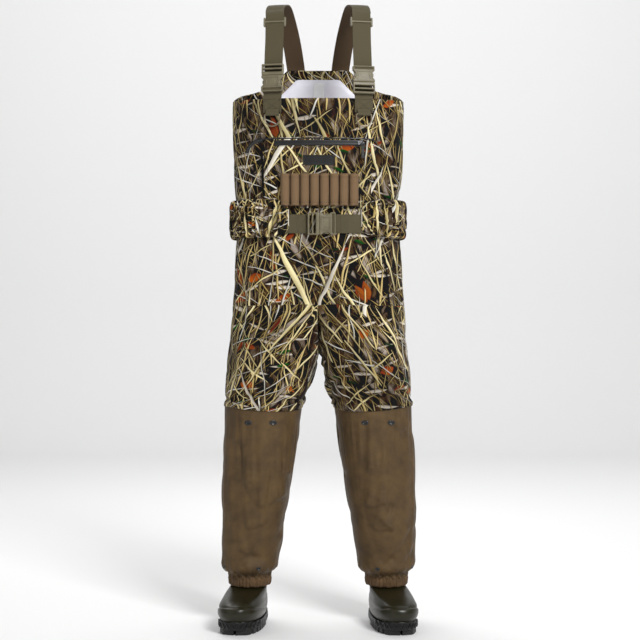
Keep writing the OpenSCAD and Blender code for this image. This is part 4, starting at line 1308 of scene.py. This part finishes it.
def make_sleeve(side, materials):
    """A padded tube of gathered cloth over the belt, with many small upright gathers and scalloped edges."""
    name = "left" if side < 0 else "right"
    x_front = 0.075 if side < 0 else 0.111
    inner = BELT_D + WEB_T + 0.0005
    start = side_angle(x_front, inner)
    cols, seed = 260, (5 if side < 0 else 15)
    angles = np.linspace(start, 178, cols)
    middle, reach = (SLEEVE_Z0 + SLEEVE_Z1) / 2, (SLEEVE_Z1 - SLEEVE_Z0) / 2
    line = body_pt(angles, np.full(cols, BELT_Z), inner)
    s = arc_length(line[None])[0]
    total = s[-1]
    open_end = np.sqrt(np.clip(s / 0.052, 0, 1) * (2 - np.clip(s / 0.052, 0, 1)))
    height = reach * (0.44 + 0.54 * open_end)
    full = np.clip(np.minimum(0.42 + s / 0.05, 0.45 + (total - s) / 0.03), 0, 1)
    full *= 1 - 0.42 * np.exp(-((angles - 92) / 24) ** 2)
    phase = s * 290 + 9 * grain(s * 16, s * 0, seed)
    gather = np.abs(np.sin(phase)) ** 0.8
    fine = np.sin(phase * 2.3 + 2)
    levels = np.linspace(0, math.pi, 25)
    front_rows, uv = [], []
    for k, a in enumerate(levels):
        v = -math.cos(a)
        roll = math.sin(a)
        edge_share = abs(v) ** 3
        scallop = 1 - 0.055 * (1 - gather) * edge_share
        wander = 0.0028 * (grain(s * 20, s * 0 + 4 * v, seed + 3) - 0.5)
        z = middle + height * v * scallop + wander * roll
        pleat = (gather - 0.60) * (0.0074 * edge_share ** 0.5 + 0.0062) + 0.0014 * fine
        cross = -0.0042 * ridge(s * 16 + v * 1.2, s * 4 + v * 2.4, seed + 7)
        depth = (0.0145 * roll ** 0.6) * full + (pleat + cross) * roll ** 0.5 * full
        if k in (0, len(levels) - 1):
            depth = 0 * depth
        z = np.clip(z, SLEEVE_Z0, SLEEVE_Z1)
        front_rows.append(body_pt(angles, z, inner + 0.0004 + np.maximum(depth, 0.0)))
        uv.append(np.stack([s * 1.35 + 0.8 * side, z + 0.02 * a], -1))
    back_rows = []
    for k, a in enumerate(levels[::-1][1:-1]):
        z = np.clip(middle - height * math.cos(a) * 0.98, SLEEVE_Z0, SLEEVE_Z1)
        back_rows.append(body_pt(angles, z, inner + 0.0003))
        uv.append(np.stack([s * 1.35 + 1.9 * side, z], -1))
    points = np.array(front_rows + back_rows + [front_rows[0]])
    uv = np.array(uv + [uv[0]])
    points[..., 0] *= side
    bm = bmesh.new()
    verts, _ = add_grid(bm, points[:-1], uv[:-1], flip=side < 0)
    rows = len(points) - 1
    layer = bm.loops.layers.uv.get("print")
    for j in range(cols - 1):
        corners = [verts[rows - 1][j], verts[rows - 1][j + 1], verts[0][j + 1], verts[0][j]]
        if side < 0:
            corners.reverse()
        face = bm.faces.new(corners)
        face.smooth = True
        for loop in face.loops:
            loop[layer].uv = (loop.vert.co.x, loop.vert.co.z)
    for j in (0, cols - 1):
        ring = [verts[i][j] for i in range(rows)]
        middle_point = bm.verts.new(sum((v.co for v in ring), Vector()) / rows)
        for i in range(rows):
            bm.faces.new((ring[i], ring[(i + 1) % rows], middle_point)).smooth = True
    bmesh.ops.recalc_face_normals(bm, faces=bm.faces)
    sleeve = to_object(bm, f"{name}_sleeve", materials["camo"])
    held = []
    for v in sleeve.data.vertices:
        t = math.degrees(math.atan2(abs(v.co.x), -(v.co.y - BODY_Y)))
        out = abs(v.co.z - middle) > reach * 0.93
        base = body_pt(t, v.co.z, inner + 0.003)
        held.append(1.0 if out or math.hypot(v.co.x, v.co.y - BODY_Y) < math.hypot(base[0], base[1] - BODY_Y) else 0.0)
    settle(sleeve, held, frames=12, growth=0.05, pressure=1.5, gravity=0.0, cap=0.0035, bending=0.5)
    place(sleeve, GARMENT, "sleeve_cloth", f"{name}_belt_sleeve")
    return sleeve


# ---------- buckles, straps and rings ----------

def female_outline():
    """The socket's outline: a flared foot, a waist at each side for the prongs, and round shoulders."""
    right = [(0.0268, 0.0), (0.0284, 0.0008), (0.029, 0.0025), (0.029, 0.0115)]
    for a in np.radians(np.linspace(-148, -212, 17)):
        right.append((0.035 + 0.013 * math.cos(a), 0.024 + 0.013 * math.sin(a)))
    right += [(0.029, 0.0365), (0.029, 0.0400), (0.0284, 0.0415), (0.0268, 0.042)]
    right = [p for k, p in enumerate(right) if k == 0 or math.dist(p, right[k - 1]) > 0.0004]
    return right + [(-x, z) for x, z in reversed(right)]


def make_buckle(prefix, matrix, m, female_node, male_node, prongs):
    """A side-release buckle: socket, plug with its ladder, and two prongs, each on its own body."""
    slot = rounded(-0.0250, 0.0035, 0.0250, 0.0085, 0.0012)
    socket = plate(f"{prefix}_socket", [female_outline(), slot], 0.012, 0.0020, m["plastic"], matrix)
    cutter = bmesh.new()
    bmesh.ops.create_cube(cutter, size=1.0)
    hollow = to_object(cutter, "hollow")
    hollow.data.transform(matrix @ Matrix.Translation((0, 0, 0.032)) @ Matrix.Diagonal((0.049, 0.0072, 0.040, 1)))
    if matrix.determinant() < 0:
        hollow.data.flip_normals()
    cut = socket.modifiers.new("cavity", "BOOLEAN")
    cut.object = hollow
    cut.solver = "EXACT"
    apply_modifiers(socket)
    bpy.data.objects.remove(hollow)
    shade_by_angle(socket, 40)
    inner_web = plate(f"{prefix}_anchored_web", [rounded(-0.0245, 0.0037, 0.0245, 0.0083, 0.001)], 0.0064, 0.0008,
                      m["webbing"], matrix)
    place(inner_web, GARMENT, "webbing", female_node)
    waist = [(0.0165, 0.0130), (0.0190, 0.0115), (0.0205, 0.0125), (0.0178, 0.0180), (0.0168, 0.0240),
             (0.0178, 0.0300), (0.0205, 0.0360), (0.0190, 0.0378), (0.0150, 0.0388)]
    waist += [(-x, z) for x, z in reversed(waist)]
    inset = [(x * 0.80, 0.0255 + (z - 0.0255) * 0.74) for x, z in waist]
    raised = plate(f"{prefix}_raised", [waist, inset], 0.0018, 0.0008, m["plastic"], matrix, -0.0062)
    boss = plate(f"{prefix}_boss", [rounded(-0.0088, 0.0190, 0.0088, 0.0310, 0.0042)], 0.0014, 0.0006,
                 m["plastic"], matrix, -0.0060)
    whole = join([socket, raised, boss], f"{prefix}_female")
    place(whole, GARMENT, "buckle_plastic", female_node)

    base = 0.0424
    ladder = [rounded(-0.029, base, 0.029, base + 0.030, 0.0030, 5),
              rounded(-0.0250, base + 0.009, 0.0250, base + 0.015, 0.0014),
              rounded(-0.0250, base + 0.019, 0.0250, base + 0.025, 0.0014)]
    parts = [plate(f"{prefix}_ladder", ladder, 0.010, 0.0019, m["plastic"], matrix),
             plate(f"{prefix}_tongue", [rounded(-0.009, 0.018, 0.009, base + 0.001, 0.002)], 0.006, 0.0010,
                   m["plastic"], matrix)]
    bm = bmesh.new()
    for z, r in ((base + 0.017, 0.0021), (base + 0.0275, 0.0021)):
        tube(bm, [matrix @ Vector((x, -0.0036, z)) for x in np.linspace(-0.0246, 0.0246, 12)], r, 12)
    parts.append(to_object(bm, f"{prefix}_bars", m["plastic"]))
    whole = join(parts, f"{prefix}_male")
    bm = bmesh.new()
    bm.from_mesh(whole.data)
    bmesh.ops.recalc_face_normals(bm, faces=bm.faces)
    bm.to_mesh(whole.data)
    bm.free()
    shade_by_angle(whole, 40)
    place(whole, GARMENT, "buckle_plastic", male_node)

    for node, sign in prongs:
        arm = [(0.0195, 0.0418), (0.0229, 0.0418), (0.0229, 0.0290), (0.0248, 0.0288), (0.0259, 0.0275),
               (0.0260, 0.0215), (0.0248, 0.0188), (0.0225, 0.0180), (0.0200, 0.0180), (0.0195, 0.0190)]
        prong = plate(f"{node}_arm", [[(x * sign, z) for x, z in arm]], 0.006, 0.0009, m["plastic"], matrix)
        bm = bmesh.new()
        bm.from_mesh(prong.data)
        for k in range(4):
            z = 0.0205 + 0.0022 * k
            tube(bm, [matrix @ Vector((0.0259 * sign, y, z)) for y in (-0.0022, 0, 0.0022)], 0.00045, 6)
        bmesh.ops.recalc_face_normals(bm, faces=bm.faces)
        bm.to_mesh(prong.data)
        bm.free()
        shade_by_angle(prong, 40)
        place(prong, node, "buckle_plastic", node)


STRAP_X, WEB_Y = 0.119, 0.0076
FRAME_Y = float(front_y(STRAP_X, FRONT_TOP, 0.0)) - WEB_Y - 0.003


def strap_matrix(side):
    """The leaning frame of a strap's buckle and its straight front run."""
    at = Matrix.Translation((STRAP_X, FRAME_Y, 1.4)) @ Matrix.Rotation(math.radians(13), 4, "Z")
    at = at @ Matrix.Rotation(math.radians(-6), 4, "X")
    return Matrix.Diagonal((side, 1, 1, 1)) @ at


def web_pt(s):
    p = strap_matrix(1) @ Vector((0, WEB_Y, s))
    return [p.x, p.y, p.z, 13]


def box_x(at, x, z0, z1):
    """A box of stitching with its two diagonals, in the local plane of at."""
    corners = [(-x, z0), (x, z0), (x, z1), (-x, z1)]
    lines = [(corners[k], corners[(k + 1) % 4]) for k in range(4)] + [(corners[0], corners[2]), (corners[1], corners[3])]
    paths = []
    for a, b in lines:
        steps = np.linspace(0, 1, 16)
        paths.append([at @ Vector((a[0] + (b[0] - a[0]) * t, 0, a[1] + (b[1] - a[1]) * t)) for t in steps])
    return paths


def make_strap(side, m):
    name = "left" if side < 0 else "right"
    frame_at = strap_matrix(side)
    route = [web_pt(0.050), web_pt(0.125), web_pt(0.200), [0.113, -0.066, 1.6195, 13], [0.109, -0.051, 1.6325, 12],
             [0.103, -0.022, 1.6395, 10], [0.096, 0.010, 1.6395, 8], [0.089, 0.042, 1.6265, 6],
             [0.080, 0.078, 1.596, 4], [0.070, 0.115, 1.552, 2], [0.063, 0.146, 1.510, 0],
             [0.061, 0.1545, 1.492, 0], [0.060, 0.155, 1.476, 0], [0.060, 0.155, 1.440, 0], [0.060, 0.155, 1.400, 0]]
    strap = webbing_strip(f"{name}_strap", route, WEB_W, WEB_T, (m["webbing"], m["webbing_back"]), side, 130, 0.0009)
    place(strap, GARMENT, "webbing", f"{name}_shoulder_strap")
    sewn = Matrix.Translation((0.060 * side, 0.155 + WEB_T / 2 + 0.0002, 0))
    back = box_x(sewn, 0.0205, 1.404, 1.444) + box_x(sewn, 0.0205, 1.448, 1.472)
    stitching(f"{name}_strap_back_stitching", back, m["thread"], "webbing", normal_at=lambda p: Vector((0, 1, 0)))

    low_y = float(front_y(STRAP_X, FRONT_TOP, 0.0024))
    foot = [[STRAP_X, low_y, 1.3460, 13], [STRAP_X, low_y, 1.3650, 13], [STRAP_X, low_y, 1.3830, 13],
            web_pt(0.004), web_pt(0.016)]
    anchor = webbing_strip(f"{name}_anchor", foot, WEB_W, WEB_T, (m["webbing"], m["webbing_back"]), side, 40)
    flip = Matrix.Diagonal((side, 1, 1, 1))
    ring_at = flip @ Matrix.Translation((STRAP_X, float(front_y(STRAP_X, 1.341, 0)) - 0.0082, 1.341))
    ring_at = ring_at @ Matrix.Rotation(math.radians(13), 4, "Z")
    loop = []
    for y, z in ((0.0042, 0.0130), (0.0046, 0.0060), (0.0042, 0.0010), (0.0028, -0.0026), (0.0, -0.0036),
                 (-0.0027, -0.0026), (-0.0036, 0.0), (-0.0028, 0.0034), (0.0006, 0.0065), (0.0022, 0.0130)):
        p = flip @ (ring_at @ Vector((0, y, z)))
        loop.append([p.x, p.y, p.z, 13])
    tab = webbing_strip(f"{name}_tab", loop, 0.034, 0.0013, (m["webbing"], m["webbing"]), side, 50)
    anchor = join([anchor, tab], f"{name}_anchor_webbing")
    place(anchor, GARMENT, "webbing", f"{name}_strap_anchor")
    face = flip @ Matrix.Translation((STRAP_X, low_y, 0)) @ Matrix.Rotation(math.radians(13), 4, "Z")
    face = face @ Matrix.Translation((0, -WEB_T / 2 - 0.0002, 0))
    outward = (face.to_3x3() @ Vector((0, -1, 0)))
    paths = box_x(face, 0.0212, 1.3490, 1.3800)
    stitching(f"{name}_anchor_stitching", paths, m["thread_dark"], "webbing", pitch=0.0032, radius=0.0005,
              normal_at=lambda p: outward)

    bm = bmesh.new()
    wire = [(0.0, 0.0), (0.010, 0.0), (0.0165, 0.0)]
    wire += [(0.0165 + 0.0035 * math.sin(a), -0.0035 + 0.0035 * math.cos(a)) for a in np.radians((25, 50, 75, 90))]
    wire += [(0.020, -0.0075)]
    wire += [(0.020 * math.cos(a), -0.011 - 0.020 * math.sin(a)) for a in np.radians(np.linspace(0, 84, 13))]
    right = [Vector((x, 0, z)) for x, z in wire]
    points = right + [Vector((0, 0, -0.031))] + [Vector((-p.x, 0, p.z)) for p in reversed(right[1:])]
    tube(bm, [ring_at @ p for p in points], 0.0021, 14, closed=True)
    bmesh.ops.recalc_face_normals(bm, faces=bm.faces)
    ring = to_object(bm, f"{name}_ring", m["metal"])
    place(ring, f"{name}_d_ring", "ring_metal", f"{name}_d_ring")

    at = frame_at @ Matrix.Translation((0, WEB_Y, 0.186))
    parts = []
    for sign in (-1, 1):
        x0, x1 = sorted((0.0251 * sign, 0.0295 * sign))
        parts.append(plate(f"{name}_rail", [rounded(x0, -0.012, x1, 0.012, 0.0020)], 0.0088, 0.0014, m["plastic"], at))
    bm = bmesh.new()
    reach = np.linspace(-0.0262, 0.0262, 14)
    for z in (-0.0100, 0.0100):
        tube(bm, [at @ Vector((x, 0.0034, z)) for x in reach], 0.0016, 12)
    tube(bm, [at @ Vector((x, -0.0040 - 0.0003 * math.cos(x * 60), 0)) for x in reach], 0.0021, 12)
    bmesh.ops.recalc_face_normals(bm, faces=bm.faces)
    parts.append(to_object(bm, f"{name}_slide_bars", m["plastic"]))
    slide = join(parts, f"{name}_slide")
    shade_by_angle(slide, 40)
    place(slide, f"{name}_adjuster", "buckle_plastic", f"{name}_adjuster")

    at = frame_at if side < 0 else frame_at @ Matrix.Translation((0, 0, 0.0664)) @ Matrix.Rotation(math.pi, 4, "Y")
    make_buckle(f"{name}_buckle", at, m, f"{name}_buckle_female", f"{name}_buckle_male",
                [(f"{name}_prong_outer", prong_sign(name, "outer")), (f"{name}_prong_inner", prong_sign(name, "inner"))])


def prong_sign(name, which):
    """Whether this prong sits at the buckle's local +X or -X side."""
    outer = 1 if name == "left" else -1
    return outer if which == "outer" else -outer


def make_belt_buckle(m):
    y = float(front_y(0, BELT_Z, BELT_D + WEB_T + 0.0005 + 0.006))
    at = Matrix.Translation((0.0452, y, BELT_Z)) @ Matrix.Rotation(-math.pi / 2, 4, "Y")
    upper = 1 if (at @ Vector((1, 0, 0))).z > BELT_Z else -1
    make_buckle("belt_buckle", at, m, "belt_buckle_female", "belt_buckle_male",
                [("belt_prong_upper", upper), ("belt_prong_lower", -upper)])


# ---------- eyelets ----------

def make_eyelets(side, where, height, angles, cloth, m):
    """Dark enamelled grommets, seated on the gaiter as it hangs."""
    name = "left" if side < 0 else "right"
    size, stretch = (1.2, 1.65) if where == "knee" else (0.93, 1.3)
    tree = BVHTree.FromObject(cloth, bpy.context.evaluated_depsgraph_get())
    bm = bmesh.new()
    for u in angles:
        base = Vector(leg_pt(u, height, 0.0))
        along = (Vector(leg_pt(u + 3, height, 0.0)) - Vector(leg_pt(u - 3, height, 0.0))).normalized()
        up = (Vector(leg_pt(u, height + 0.01, 0.0)) - Vector(leg_pt(u, height - 0.01, 0.0))).normalized()
        for v in (base, along, up):
            v.x *= side
        out = along.cross(up).normalized() * side
        hit, normal, _, _ = tree.ray_cast(base + out * 0.06, -out)
        if hit is not None:
            base = hit
            if normal.dot(out) > 0.6:
                out = (out + normal).normalized()
        along = (along - out * along.dot(out)).normalized()
        up = out.cross(along)
        rings = []
        for r, h in ((0.0054, -0.0008), (0.0052, 0.0010), (0.0044, 0.0019), (0.0034, 0.0018), (0.0026, 0.0011),
                     (0.0023, 0.0006), (0.0004, 0.0005)):
            rings.append([bm.verts.new(base + (along * (stretch * math.cos(a)) + up * math.sin(a)) * (r * size) + out * h)
                          for a in np.linspace(0, 2 * math.pi, 28, endpoint=False)])
        for a, b in zip(rings, rings[1:]):
            for k in range(28):
                bm.faces.new((a[k], a[(k + 1) % 28], b[(k + 1) % 28], b[k])).smooth = True
        bm.faces.new(rings[-1])
    bmesh.ops.recalc_face_normals(bm, faces=bm.faces)
    eyelets = to_object(bm, f"{name}_{where}_grommets", m["black"])
    place(eyelets, GARMENT, "eyelet", f"{name}_{where}_eyelets")


# ---------- boots ----------

BOOT_RINGS = [(34, 72, -200, 50), (50, 76, -211, 55), (66, 75, -208, 54), (78, 72, -184, 50.5), (88, 68, -138, 48.5),
              (96, 64, -84, 47), (102, 60, -60, 46), (128, 57, -54, 45), (165, 54, -50, 44)]


def boot_matrix(side):
    at = Matrix.Translation((0.183, 0.040, 0)) @ Matrix.Rotation(math.radians(9), 4, "Z")
    return Matrix.Diagonal((side, 1, 1, 1)) @ at


def boot_ring(heel, toe, half, z, u, d=0.0, taper=0.13):
    """Points round the boot at a height; u is 0 at the toe."""
    c, s = power(np.cos(u), 0.85), power(np.sin(u), 0.85)
    mid, reach = (heel + toe) / 2, (heel - toe) / 2
    return np.stack(np.broadcast_arrays((half + d) * s * (1 + taper * c), mid - (reach + d) * c, z), -1)


def local_to(points, matrix):
    m = np.array(matrix)
    return points @ m[:3, :3].T + m[:3, 3]


def make_boot(side, m):
    name = "left" if side < 0 else "right"
    at = boot_matrix(side)
    rings = np.array(BOOT_RINGS, float) * MM
    curve, _ = smooth_route(rings, 110)
    u = np.linspace(-math.pi, math.pi, 145)
    rows = []
    for z, heel, toe, half in curve:
        rows.append(boot_ring(heel, toe, half, z, u, taper=0.13 * float(smooth((0.104 - z) / 0.014))))
    points = np.array(rows)
    z, v = points[..., 2], np.abs(u)[None, :] + 0 * points[..., 2]
    front = smooth((math.radians(112) - v) / 0.5)
    cap_line = 0.0690 - 0.021 * (1 - np.cos(np.minimum(v, 1.8))) ** 1.3
    lift = 0.0024 * smooth((cap_line - z) / 0.0022) * front
    lift -= 0.0010 * np.exp(-((z - cap_line - 0.0015) / 0.0016) ** 2) * front
    reach = math.radians(34) + math.radians(88) * smooth((0.131 - z) / 0.062)
    over = smooth((reach - v) / 0.07)
    lift += 0.0016 * over * smooth((z - 0.060) / 0.01)
    lift += 0.0013 * np.exp(-((reach - v) / 0.045) ** 2) * smooth((z - 0.066) / 0.006)
    heel_line = 0.095 - 0.020 * np.cos(np.pi - v)
    lift += 0.0015 * smooth((heel_line - z) / 0.002) * smooth((v - math.radians(118)) / 0.12)
    lift += 0.0012 * np.exp(-((z - 0.0385) / 0.0016) ** 2) * smooth((v - 1.0) / 0.4)
    crease = np.exp(-((v - 0.55) / 0.5) ** 2) * np.exp(-((z - 0.092) / 0.006) ** 2)
    lift -= 0.0016 * crease
    lift += 0.0008 * (grain(v * 3 + z * 30, z * 40, 61) - 0.5)
    points += normals_of(points) * lift[..., None]
    points[:, -1] = points[:, 0]
    bm = bmesh.new()
    add_grid(bm, local_to(points, at)[:, :-1], None, wrap=True, flip=side < 0)
    upper = to_object(bm, f"{name}_boot", m["boot"])
    solidify(upper, 0.0045)
    apply_modifiers(upper)
    place(upper, GARMENT, "boot_rubber", f"{name}_boot_upper")

    u = np.linspace(-math.pi, math.pi, 289)
    v = np.abs(u)
    toe = smooth((1.25 - v) / 0.3)
    saw = np.abs((u * 9.5 / math.pi) % 1 * 2 - 1)
    rows = []
    for k, (z, d) in enumerate(((0.0135, -0.002), (0.0135, 0.0002), (0.0150, 0.0016), (0.0200, 0.0022),
                                (0.0255, 0.0020), (0.0300, 0.0026), (0.0325, 0.0024), (0.0338, 0.0012), (0.0340, -0.004))):
        share = (z - 0.0135) / 0.0205
        top = 0.0340 - 0.0042 * smooth((v - 0.35) / 0.6) * smooth((1.9 - v) / 0.5) + 0.0025 * toe * saw
        height = 0.0135 + (top - 0.0135) * share
        block = 0.0012 * (np.sin(u * 46) > 0.0) * (2 <= k <= 4) * (v > 1.1)
        rows.append(boot_ring(0.074, -0.202, 0.053, height, u, d + block))
    points = np.array(rows)
    bm = bmesh.new()
    add_grid(bm, local_to(points, at)[:, :-1], None, wrap=True, flip=side < 0)
    for row in (points[0], points[-1]):
        ring = [bm.verts.new(p) for p in local_to(row[:-1], at)]
        bm.faces.new(ring)
    bmesh.ops.remove_doubles(bm, verts=bm.verts, dist=0.00001)
    steps = np.linspace(-1.12, 1.12, 23)
    bead = []
    for k, a in enumerate(steps):
        z = 0.0175 if k % 2 else 0.0290
        bead.append(boot_ring(0.074, -0.202, 0.053, z, np.array(a), 0.0030))
    tube(bm, local_to(np.array(bead), at), 0.0021, 8)
    bmesh.ops.recalc_face_normals(bm, faces=bm.faces)
    rand = to_object(bm, f"{name}_rand", m["outsole"])
    shade_by_angle(rand, 38)
    parts = [rand]
    outline = boot_ring(0.074, -0.202, 0.053, 0.0, np.linspace(-math.pi, math.pi, 49)[:-1])[:, :2]
    bars = [(y, s) for y in np.arange(-0.196, -0.06, 0.022) for s in (-1, 1)] + [(y, 0) for y in np.arange(0.014, 0.07, 0.02)]
    to_plate = at @ Matrix.Rotation(-math.pi / 2, 4, "X")
    for k, (y, s) in enumerate(bars):
        slope = 0.22 * s
        low, high = (0.003, 0.060) if s else (-0.08, 0.08)
        shape = outline
        for a, b, c in ((1, 0, -low if s >= 0 else high), (-1, 0, high if s >= 0 else -low),
                        (-slope, 1, -y), (slope, -1, y + 0.013)):
            if s < 0 and b == 0:
                a, c = (-1, -low) if a == 1 else (1, high)
            shape = clip(shape, a, b, c)
        if len(shape) > 2:
            parts.append(plate(f"{name}_lug_{k}", [shape], 0.0150, 0.0016, m["outsole"],
                               to_plate, -0.0075))
    outsole = join(parts, f"{name}_outsole")
    place(outsole, GARMENT, "outsole_rubber", f"{name}_boot_outsole")

    shape = boot_ring(0.074, -0.202, 0.053, 0.0, np.linspace(-math.pi, math.pi, 65)[:-1], -0.0108)[:, :2]
    bed = plate(f"{name}_insole", [shape], 0.0048, 0.0015, m["felt"], to_plate, -0.0367)
    place(bed, GARMENT, "footbed", f"{name}_boot_footbed")


def clip(shape, a, b, c):
    """The part of a polygon where a x + b y + c >= 0."""
    kept = []
    for p, q in zip(shape, np.roll(shape, -1, axis=0)):
        fp, fq = a * p[0] + b * p[1] + c, a * q[0] + b * q[1] + c
        if fp >= 0:
            kept.append(p)
        if fp * fq < 0:
            kept.append(p + (q - p) * fp / (fp - fq))
    return np.array(kept)


# ---------- the whole ----------

make_stage()
MATERIALS = make_materials()
make_camo_body(MATERIALS)
for SIDE in (-1, 1):
    GAITER = make_gaiter(SIDE, MATERIALS)
    make_cuff(SIDE, MATERIALS)
    make_eyelets(SIDE, "knee", 0.540, (-17, 16) if SIDE < 0 else (-14, 21), GAITER, MATERIALS)
    make_eyelets(SIDE, "ankle", 0.157, (-75, -18, 57), GAITER, MATERIALS)
    make_strap(SIDE, MATERIALS)
    make_sleeve(SIDE, MATERIALS)
    make_boot(SIDE, MATERIALS)
make_inside(MATERIALS)
make_pocket(MATERIALS)
make_piping(MATERIALS)
make_patch(MATERIALS)
make_shell_loops(MATERIALS)
make_belt(MATERIALS)
make_belt_buckle(MATERIALS)
